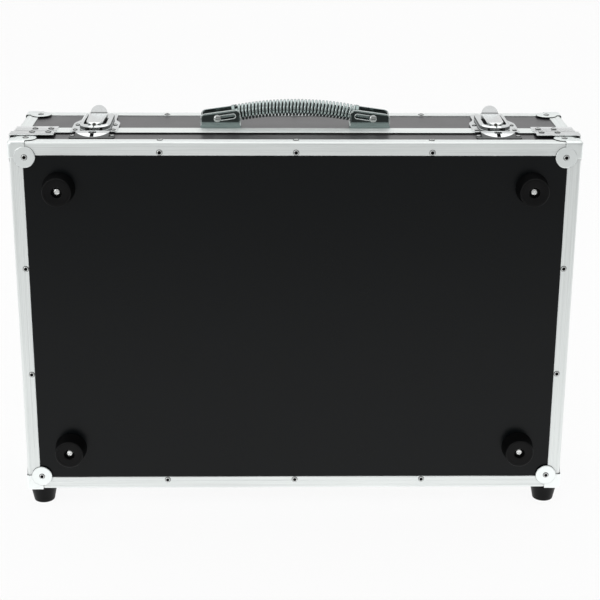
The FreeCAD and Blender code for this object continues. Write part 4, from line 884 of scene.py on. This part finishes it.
def screwHead():
    # a pan head: height falls with the fourth power of the radius; the cross recess is cut where the
    # point lies near either axis, nearer further out, and inside the cross's reach
    rings = np.concatenate([np.linspace(0, 0.8, 17), screw["edgeRings"]])
    sides = screw["sides"]
    angle = 2 * np.pi * np.arange(sides) / sides
    r = rings[:, None] * screw["radius"] * np.ones(sides)
    x, y = r * np.cos(angle), r * np.sin(angle)
    z = screw["height"] * (1 - screw["fall"] * (r / screw["radius"]) ** 4)
    wide, narrower = screw["crossShares"]
    beyond = np.minimum(abs(x), abs(y)) - screw["crossWidth"] * (wide - narrower * r / screw["cross"])
    sideEdge, endEdge = screw["crossEdges"]
    inside = np.clip(-beyond / sideEdge, 0, 1) * np.clip((screw["cross"] - r) / endEdge, 0, 1)
    z = z - inside * screw["crossDepth"]
    cap = np.stack([x, y, z], -1)
    wall = np.stack([x[-1], y[-1], np.zeros(sides)], -1)[None]
    points = np.concatenate([cap, wall, np.zeros((1, sides, 3))]).reshape(-1, 3)
    return points, gridQuads(len(rings) + 2, sides, False, True)


def screwParts(places, foot):
    # a head on the floor of each foot's recess
    head = screwHead()
    seats = [(np.asarray(at, float) + np.asarray(out, float) * foot["floor"], out) for at, out in places]
    return [seated(head, seat, out) for seat, out in seats]


boardScrews = screwParts(boardFeet, boardFoot) + screwParts(frontFeet, standFoot)
coverScrews = screwParts(backFeet, standFoot)
makePiece("board_screw_heads", boardScrews, "screw_steel", "base", ("base_foot_screws",), crease=0.7)
makePiece("lid_screw_heads", coverScrews, "screw_steel", "lid", ("lid_stand_foot_screws",), crease=0.7)
print("feet made")

# Corner caps

cap = {
    "square": 18.2, "centre": 17.2, "disc": 11.5, "thickness": sheetSteel, "round": 2.6,
    "edge": 0.45, "inner": 0.1, "sidePoints": 9, "arcPoints": 45,
    "fanShares": np.append(np.linspace(0, 0.9, 13), (0.96, 1)),
}


def capOutline():
    # from one side of the square, round the disc and back to the other side: points and outward ways
    over = cap["square"] - cap["centre"]
    reach = math.sqrt(cap["disc"] ** 2 - over ** 2)
    count = cap["sidePoints"]
    start = math.degrees(math.atan2(-reach, over))
    angle = np.radians(np.linspace(start, 90 - start, cap["arcPoints"])[1:-1])
    arc = np.stack([np.cos(angle), np.sin(angle)], -1)
    first = np.stack([np.full(count, cap["square"]), np.linspace(0, cap["centre"] - reach, count)], -1)
    points = np.concatenate([first, cap["centre"] + cap["disc"] * arc, first[::-1, ::-1]])
    ways = np.concatenate([np.tile((1.0, 0.0), (count, 1)), arc, np.tile((0.0, 1.0), (count, 1))])
    return points, ways


def capLeaves():
    # each leaf is a fan of rows from the corner out to its outline, over its rounded edge and back
    # inside; near the box's edges a point (u, v) at depth h moves to c + (r - h) n, where c is the
    # point held r inside the box and n is the way from c to the point on the box's face
    outline, ways = capOutline()
    e, t, r, inner = cap["edge"], cap["thickness"], cap["round"], cap["inner"]
    shares = cap["fanShares"]
    rows = [(share, e, 0) for share in shares]
    rows += [(1, e * (1 - math.sin(a)), e * (1 - math.cos(a))) for a in np.radians((30, 60, 90))]
    rows += [(1, 0, t - inner), (1, inner, t)] + [(share, inner, t) for share in shares[::-1]]
    # from the leaf's rounded rim on, its outer edge and underside carry painted shade
    dark = np.arange(len(rows)) >= len(shares) + 2
    flat = np.array([share * (outline - ways * inset) for share, inset, _ in rows])
    depth = np.array([row[2] for row in rows])[:, None] * np.ones(len(outline))
    u, v = flat[..., 0], flat[..., 1]
    way = np.stack([np.minimum(u - r, 0), np.minimum(v - r, 0), np.full_like(u, -r)], -1)
    way /= np.linalg.norm(way, axis=-1, keepdims=True)
    held = np.stack([np.maximum(u, r), np.maximum(v, r), np.full_like(u, r)], -1)
    points = (held + (r - depth)[..., None] * way).reshape(-1, 3)
    faces = gridQuads(len(rows), len(outline))
    leaves = [(points[:, order], faces) for order in ((0, 1, 2), (2, 0, 1), (1, 2, 0))]
    return leaves, np.repeat(dark, len(outline))


def cornerCaps(name, body, replaced, face, inwards):
    # a leaf's figures are distances in from the case's side, its large face and its top or bottom
    t = cap["thickness"]
    leaves, dark = capLeaves()
    parts = []
    for sx in (-1, 1):
        for sz in (-1, 1):
            for points, faces in leaves:
                x = sx * (halfWidth + t - points[:, 0])
                y = face + inwards * (points[:, 1] - t)
                z = top / 2 + sz * (top / 2 + t - points[:, 2])
                parts.append((np.stack([x, y, z], -1), faces))
    makePiece(name, parts, "nickel_steel", body, (replaced,), crease=0.9, shadeMask=np.tile(dark, len(parts)))


cornerCaps("board_corner_caps", "base", "base_corner_caps", 0, 1)
cornerCaps("cover_corner_caps", "lid", "lid_corner_caps", case["depth"], -1)
print("corner caps made")

# Pressed and folded steel: the nodes' own surfaces with rounded edges, by the edge's width and steps

for half in ("base", "lid"):
    refined(half + "_post_profiles", "post_aluminium", 0.35)
refined("lid_corner_braces", "brace_steel", 0.3)
refined("latch_strikes", "strike_chrome", 0.3)
for side in ("left", "right"):
    refined("latch_plate_" + side, "latch_chrome", 0.4)
    refined("lever_" + side, "lever_chrome", 0.35)
    refined("claw_" + side, "claw_chrome", 0.15)
    refined("key_plug_" + side, "lock_brass", 0.15)
    refined("handle_bracket_" + side, "bracket_nickel", 0.5, 3)
    refined("handle_strap_end_" + side, "handle_nickel", 0.6, 3)
    refined("hinge_base_leaf_" + side, "hinge_steel", 0.25)
    refined("hinge_lid_leaf_" + side, "hinge_steel", 0.25)
print("sheet metal made")

# Handle

grip = {
    "y": bracket["y"], "middle": 19.9, "arch": 340, "halfSpan": 63.5, "collar": 62,
    "outer": 9.25, "wire": 2.6, "wireWidening": 1.12, "wireSides": 10, "turns": 34, "turnSteps": 32,
    "core": 5.4, "coreReach": 0.96, "coreSteps": 25, "coreSides": 24,
}
pin = {
    "x": 84.5, "radius": 2.1, "head": 4.4, "headEdge": 0.2, "rim": 0.25, "dome": 1.75, "reach": 12, "sides": 36,
}
archAngle = math.atan(grip["halfSpan"] / math.sqrt(grip["arch"] ** 2 - grip["halfSpan"] ** 2))
endHeight = grip["middle"] - grip["arch"] * (1 - math.cos(archAngle))
pinHeight = endHeight - (pin["x"] - grip["halfSpan"]) * math.tan(archAngle)


def onArch(angle):
    # the way from the arch's centre at an angle from straight up, and the point on the arch there
    outwards = np.stack([np.sin(angle), 0 * angle, np.cos(angle)], -1)
    centre = np.array([0, grip["y"], top + grip["middle"] - grip["arch"]])
    return outwards, centre + outwards * grip["arch"]


def springHalf(name, first, last):
    # the wire's centre at w turns lies on the arch at angle reach (2 w / turns - 1), and round the
    # arch's line at 2 pi w; the section's side vector points away from that line
    wound = np.linspace(first, last, int((last - first) * grip["turnSteps"]) + 1)
    outwards, middle = onArch(archAngle * (2 * wound / grip["turns"] - 1))
    about = 2 * np.pi * wound[:, None]
    side = outwards * np.cos(about) + np.array([0.0, 1.0, 0.0]) * np.sin(about)
    section = ring(grip["wire"] / 2, grip["wireSides"], grip["wireWidening"])
    part = carried(middle + side * (grip["outer"] - grip["wire"] / 2), side, section)
    piece = makePiece(name, [part], "spring_nickel", None, ("handle_spring",), crease=0.9)
    blended(piece)


def coreHalf(name, sign):
    # a round cord along the arch
    outwards, line = onArch(sign * np.linspace(0, archAngle * grip["coreReach"], grip["coreSteps"]))
    part = carried(line, outwards, ring(grip["core"], grip["coreSides"]))
    blended(makePiece(name, [part], "handle_core_rubber", None, ("handle_core",)))


def blended(piece):
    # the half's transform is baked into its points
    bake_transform(piece)


springHalf("grip_spring_left", 0, grip["turns"] / 2)
springHalf("grip_spring_right", grip["turns"] / 2, grip["turns"])
coreHalf("grip_core_left", -1)
coreHalf("grip_core_right", 1)


def pinPart(sign):
    # a shank with a head at each end, whose edge rises straight to its rim and whose dome is an ellipse
    reach, head, shank, rim = pin["reach"], pin["head"], pin["radius"], pin["rim"]
    dome = [(shank, reach), (head - pin["headEdge"], reach), (head, reach + rim)]
    angles = np.radians(range(15, 91, 15))
    dome += [(head * math.cos(a), reach + rim + pin["dome"] * math.sin(a)) for a in angles]
    profileLine = [(r, -h) for r, h in reversed(dome)] + dome
    return seated(lathe(profileLine, pin["sides"]), (sign * pin["x"], grip["y"], top + pinHeight), (0, -1, 0))


pinSlot = {"half": 2.3, "travel": 17.5, "slope": 8.5, "out": 0.35, "y": 11.95, "bead": 0.55}
ear = {
    "outer": 102.6, "inner": 59.4, "low": 4.6, "outerTop": 14.1, "innerTop": 20.0, "rounds": (5, 8),
    "y": 11.9, "bead": 0.5,
}
beadSides = 8


def beads(line, rim, closed):
    # a round bead along a line of X and Z, in front of and behind the grip's middle
    parts = []
    for away in (-rim["y"], rim["y"]):
        path = np.stack([line[:, 0], np.full(len(line), grip["y"] + away), line[:, 1]], -1)
        across = np.tile((0.0, 1.0, 0.0), (len(path), 1))
        parts.append(carried(path, across, ring(rim["bead"], beadSides), closed))
    return parts


def slotRims(sign):
    # along the slot's outline: a half circle round the pin, and one round the slot's other end
    slope = math.radians(pinSlot["slope"])
    run = np.array([-sign * math.cos(slope), math.sin(slope)])
    across = np.array([-run[1], run[0]])
    start = np.array([sign * pin["x"], top + pinHeight])
    turn = np.radians(np.linspace(90, 270, 13))[:, None]
    there = (pinSlot["half"] + pinSlot["out"]) * (np.cos(turn) * run + np.sin(turn) * across)
    return beads(np.concatenate([start + there, start + pinSlot["travel"] * run - there]), pinSlot, True)


def earRims(sign):
    # up each ear's end, along its sloping top and down again; a corner P between the points A and B
    # is rounded by (1 - s)^2 A + 2 s (1 - s) P + s^2 B
    outer, inner, low = ear["outer"], ear["inner"], ear["low"]
    stops = np.array([(outer, low), (outer, ear["outerTop"]), (inner, ear["innerTop"]), (inner, low)])
    s = np.linspace(0, 1, 9)[:, None]
    line = [stops[:1]]
    for at, reach in zip((1, 2), ear["rounds"]):
        before, after = (stops[at + step] - stops[at] for step in (-1, 1))
        first = stops[at] + reach * before / np.linalg.norm(before)
        last = stops[at] + reach * after / np.linalg.norm(after)
        line.append((1 - s) ** 2 * first + 2 * s * (1 - s) * stops[at] + s ** 2 * last)
    return beads(np.concatenate(line + [stops[3:]]) * (sign, 1) + (0, top), ear, False)


for side, sign in (("left", -1), ("right", 1)):
    makePiece("grip_pin_" + side, [pinPart(sign)], "pin_steel", "handle_end_" + side, ("handle_pin_" + side,))
    rims = slotRims(sign) + earRims(sign)
    makePiece("slot_rim_" + side, rims, "slot_nickel", "lid", crease=1.0)
print("handle made")

# Linings, worked out in metres in the CAD frame

lining = {"edgeReach": 0.6, "edgeThickness": 0.35, "crease": 0.8}
carpet = {"spacing": 0.006, "waves": (61, 53), "waveHeight": 0.03}
foam = {"spacing": 0.004, "pitch": 0.04, "waveHeight": 0.28}


def liningSheet(node, finish, name, body, spacing, relief, outSign):
    # a grid over the node's X and Z, as thick as relief(x, z), which a quarter round pulls in at the
    # edges, in front of the node's own back
    low, high = (np.array(corner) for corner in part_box(node))
    countX = int((high[0] - low[0]) / spacing) + 1
    countZ = int((high[2] - low[2]) / spacing) + 1
    x = np.linspace(low[0], high[0], countX)
    z = np.linspace(low[2], high[2], countZ)
    gridX, gridZ = np.meshgrid(x, z, indexing="ij")
    edge = np.minimum.reduce([gridX - low[0], high[0] - gridX, gridZ - low[2], high[2] - gridZ])
    depth = high[1] - low[1]
    thick = relief(gridX, gridZ, depth)
    soft = np.sqrt(1 - (1 - np.clip(edge / (lining["edgeReach"] * depth), 0, 1)) ** 2)
    thick = thick * (lining["edgeThickness"] + (1 - lining["edgeThickness"]) * soft)
    back = low[1] if outSign > 0 else high[1]
    free = np.stack([gridX, back + outSign * thick, gridZ], -1)
    wall = np.stack([gridX, np.full_like(gridX, back), gridZ], -1)
    count = countX * countZ
    quads = gridQuads(countX, countZ)
    border = np.concatenate([np.arange(countZ), np.arange(1, countX) * countZ + countZ - 1,
                             (countX - 1) * countZ + np.arange(countZ - 2, -1, -1),
                             np.arange(countX - 2, 0, -1) * countZ])
    after = np.roll(border, -1)
    rim = np.stack([border, after, after + count, border + count], -1)
    faces = np.concatenate([quads, quads + count, rim])
    points = np.concatenate([free.reshape(-1, 3), wall.reshape(-1, 3)])
    mesh = newMesh(name, points, faces)
    cleaned(mesh, lining["crease"])
    addPiece(name, mesh, finish, body, (node,))


def feltRelief(x, z, depth):
    # a product of two sines, long and shallow
    acrossWaves, upWaves = carpet["waves"]
    wave = np.sin(x * acrossWaves) * np.sin(z * upWaves)
    return depth * (1 - carpet["waveHeight"] + carpet["waveHeight"] * wave)


def eggRelief(x, z, depth):
    # crests and hollows a pitch apart: the mean plus a product of two cosines
    wave = np.cos(2 * np.pi * x / foam["pitch"]) * np.cos(2 * np.pi * z / foam["pitch"])
    return depth * (1 - foam["waveHeight"] + foam["waveHeight"] * wave)


liningSheet("base_carpet", "carpet", "board_carpet", "base", carpet["spacing"], feltRelief, 1)
liningSheet("lid_foam", "foam", "lid_egg_foam", "lid", foam["spacing"], eggRelief, -1)
print("linings made")

# The carried-over nodes take the finishes of their slots, or one that needs no UV map or painted shade mask

plain = {
    "laminate_panel": ("base_panel", "lid_panel"),
    "laminate_wall": [half + "_wall_" + side for half in ("base", "lid") for side in frameSides],
    "edge_aluminium": ("base_tongue_profiles",),
    "rivet_steel": ("latch_pivot_pins",),
    "hinge_steel": ("hinge_pins",),
}
ownFinish = {"edge_aluminium": "post_aluminium", "rivet_steel": "pin_steel"}
for slotName, names in plain.items():
    for name in names:
        nodes[name].data.materials.clear()
        nodes[name].data.materials.append(finishes[ownFinish.get(slotName, slotName)].material)

# Floor, light and camera

studio = {
    "floor": (0.80, 0.80, 0.79, 1), "cameraWhite": 0.93,
    "nearFloor": (1.2, 1.2, 1.2, 1), "farFloor": (0.62, 0.62, 0.62, 1), "floorReach": (-1.7, -0.1),
    "keyPower": 12, "keySize": (2.4, 2.4), "keyAt": (0, 0.5, 2.0),
    "fillPower": 8, "fillSize": (0.8, 1.2), "fillAt": (-1.5, -1.6, 1.0), "aim": (0, 0, 0.2),
    "skyHorizon": 0.32, "skyBack": 0.45, "skyTop": 0.46, "skyRise": (0.12, 0.42), "skyTurn": (-0.15, 0.35),
    "floorHalf": 9, "floorDrop": 0.0002,
}


def floorFinish():
    # a pale floor that the camera sees nearly white, with the object's shadow on it; metal sees it
    # white near the object and darker further out in front, and light passes it to the open lid,
    # which swings below the level on which the closed case stands
    made = Finish("studio floor")
    diffuse = made.node("BsdfDiffuse", {}, {"Color": studio["floor"]})
    seen = made.ray("Camera")
    near = made.axis("Y").rising(*studio["floorReach"])
    glow = made.node("Emission", {}, {"Color": made.mix(near, studio["farFloor"], studio["nearFloor"])})
    clear = made.node("BsdfTransparent")
    gap = seen * studio["cameraWhite"] + made.ray("Shadow")
    passed = made.node("MixShader", {}, {0: gap, 1: diffuse, 2: clear})
    shown = made.node("MixShader", {}, {0: made.ray("Glossy") * (1 - seen), 1: passed, 2: glow})
    made.node("OutputMaterial", {}, {"Surface": shown})
    return made


corners = np.array([(-1, -1, 0), (1, -1, 0), (1, 1, 0), (-1, 1, 0)]) * studio["floorHalf"]
floor = placed("floor", newMesh("floor", corners, np.array([(0, 1, 2, 3)])))
floor.location.z = -studio["floorDrop"]
floor.data.materials.append(floorFinish().material)


def worldLight():
    # white for the camera; for everything else bright above and behind, and dark low in front
    world = bpy.data.worlds.new("studio")
    world.use_nodes = True
    bpy.context.scene.world = world
    sky = Finish(tree=world.node_tree)
    high = sky.axis("Z", "Generated").rising(*studio["skyRise"])
    behind = sky.axis("Y", "Generated").rising(*studio["skyTurn"])
    seen = sky.ray("Camera")
    strength = studio["skyHorizon"] + studio["skyTop"] * high + studio["skyBack"] * behind * (1 - high)
    strength = strength * (1 - seen) + seen
    shown = sky.node("Background", {}, {"Color": (1, 1, 1, 1), "Strength": strength})
    sky.node("OutputWorld", {}, {"Surface": shown})


worldLight()


def areaLight(name, power, size, at):
    lamp = bpy.data.lights.new(name, "AREA")
    lamp.shape = "RECTANGLE"
    lamp.size, lamp.size_y = size
    lamp.energy = power
    holder = placed(name, lamp)
    holder.location = at
    holder.rotation_euler = (Vector(studio["aim"]) - Vector(at)).to_track_quat("-Z", "Y").to_euler()


areaLight("overhead", studio["keyPower"], studio["keySize"], studio["keyAt"])
areaLight("front left", studio["fillPower"], studio["fillSize"], studio["fillAt"])

camera = {
    "at": (-0.0253, -1.60994, 0.79106), "pitch": 19.44, "yaw": -1.12, "roll": -0.33,
    "lens": 90.85, "sensor": 36, "reach": 60,
}


def addCamera():
    # turned by yaw about Z, tipped down by pitch, then rolled about its own view line
    pitch, yaw, roll = (math.radians(camera[key]) for key in ("pitch", "yaw", "roll"))
    turn = Matrix.Rotation(yaw, 3, "Z")
    ahead = turn @ Vector((0, math.cos(pitch), -math.sin(pitch)))
    level = turn @ Vector((1, 0, 0))
    rolled = math.cos(roll) * level + math.sin(roll) * ahead.cross(level)
    axes = Matrix((rolled, -ahead.cross(rolled), -ahead)).transposed().to_4x4()
    lens = bpy.data.cameras.new("camera")
    lens.lens = camera["lens"]
    lens.sensor_width = camera["sensor"]
    lens.sensor_fit = "HORIZONTAL"
    lens.clip_end = camera["reach"]
    holder = placed("camera", lens)
    holder.matrix_world = Matrix.Translation(camera["at"]) @ axes
    bpy.context.scene.camera = holder


addCamera()
bpy.context.scene.view_settings.view_transform = "Standard"
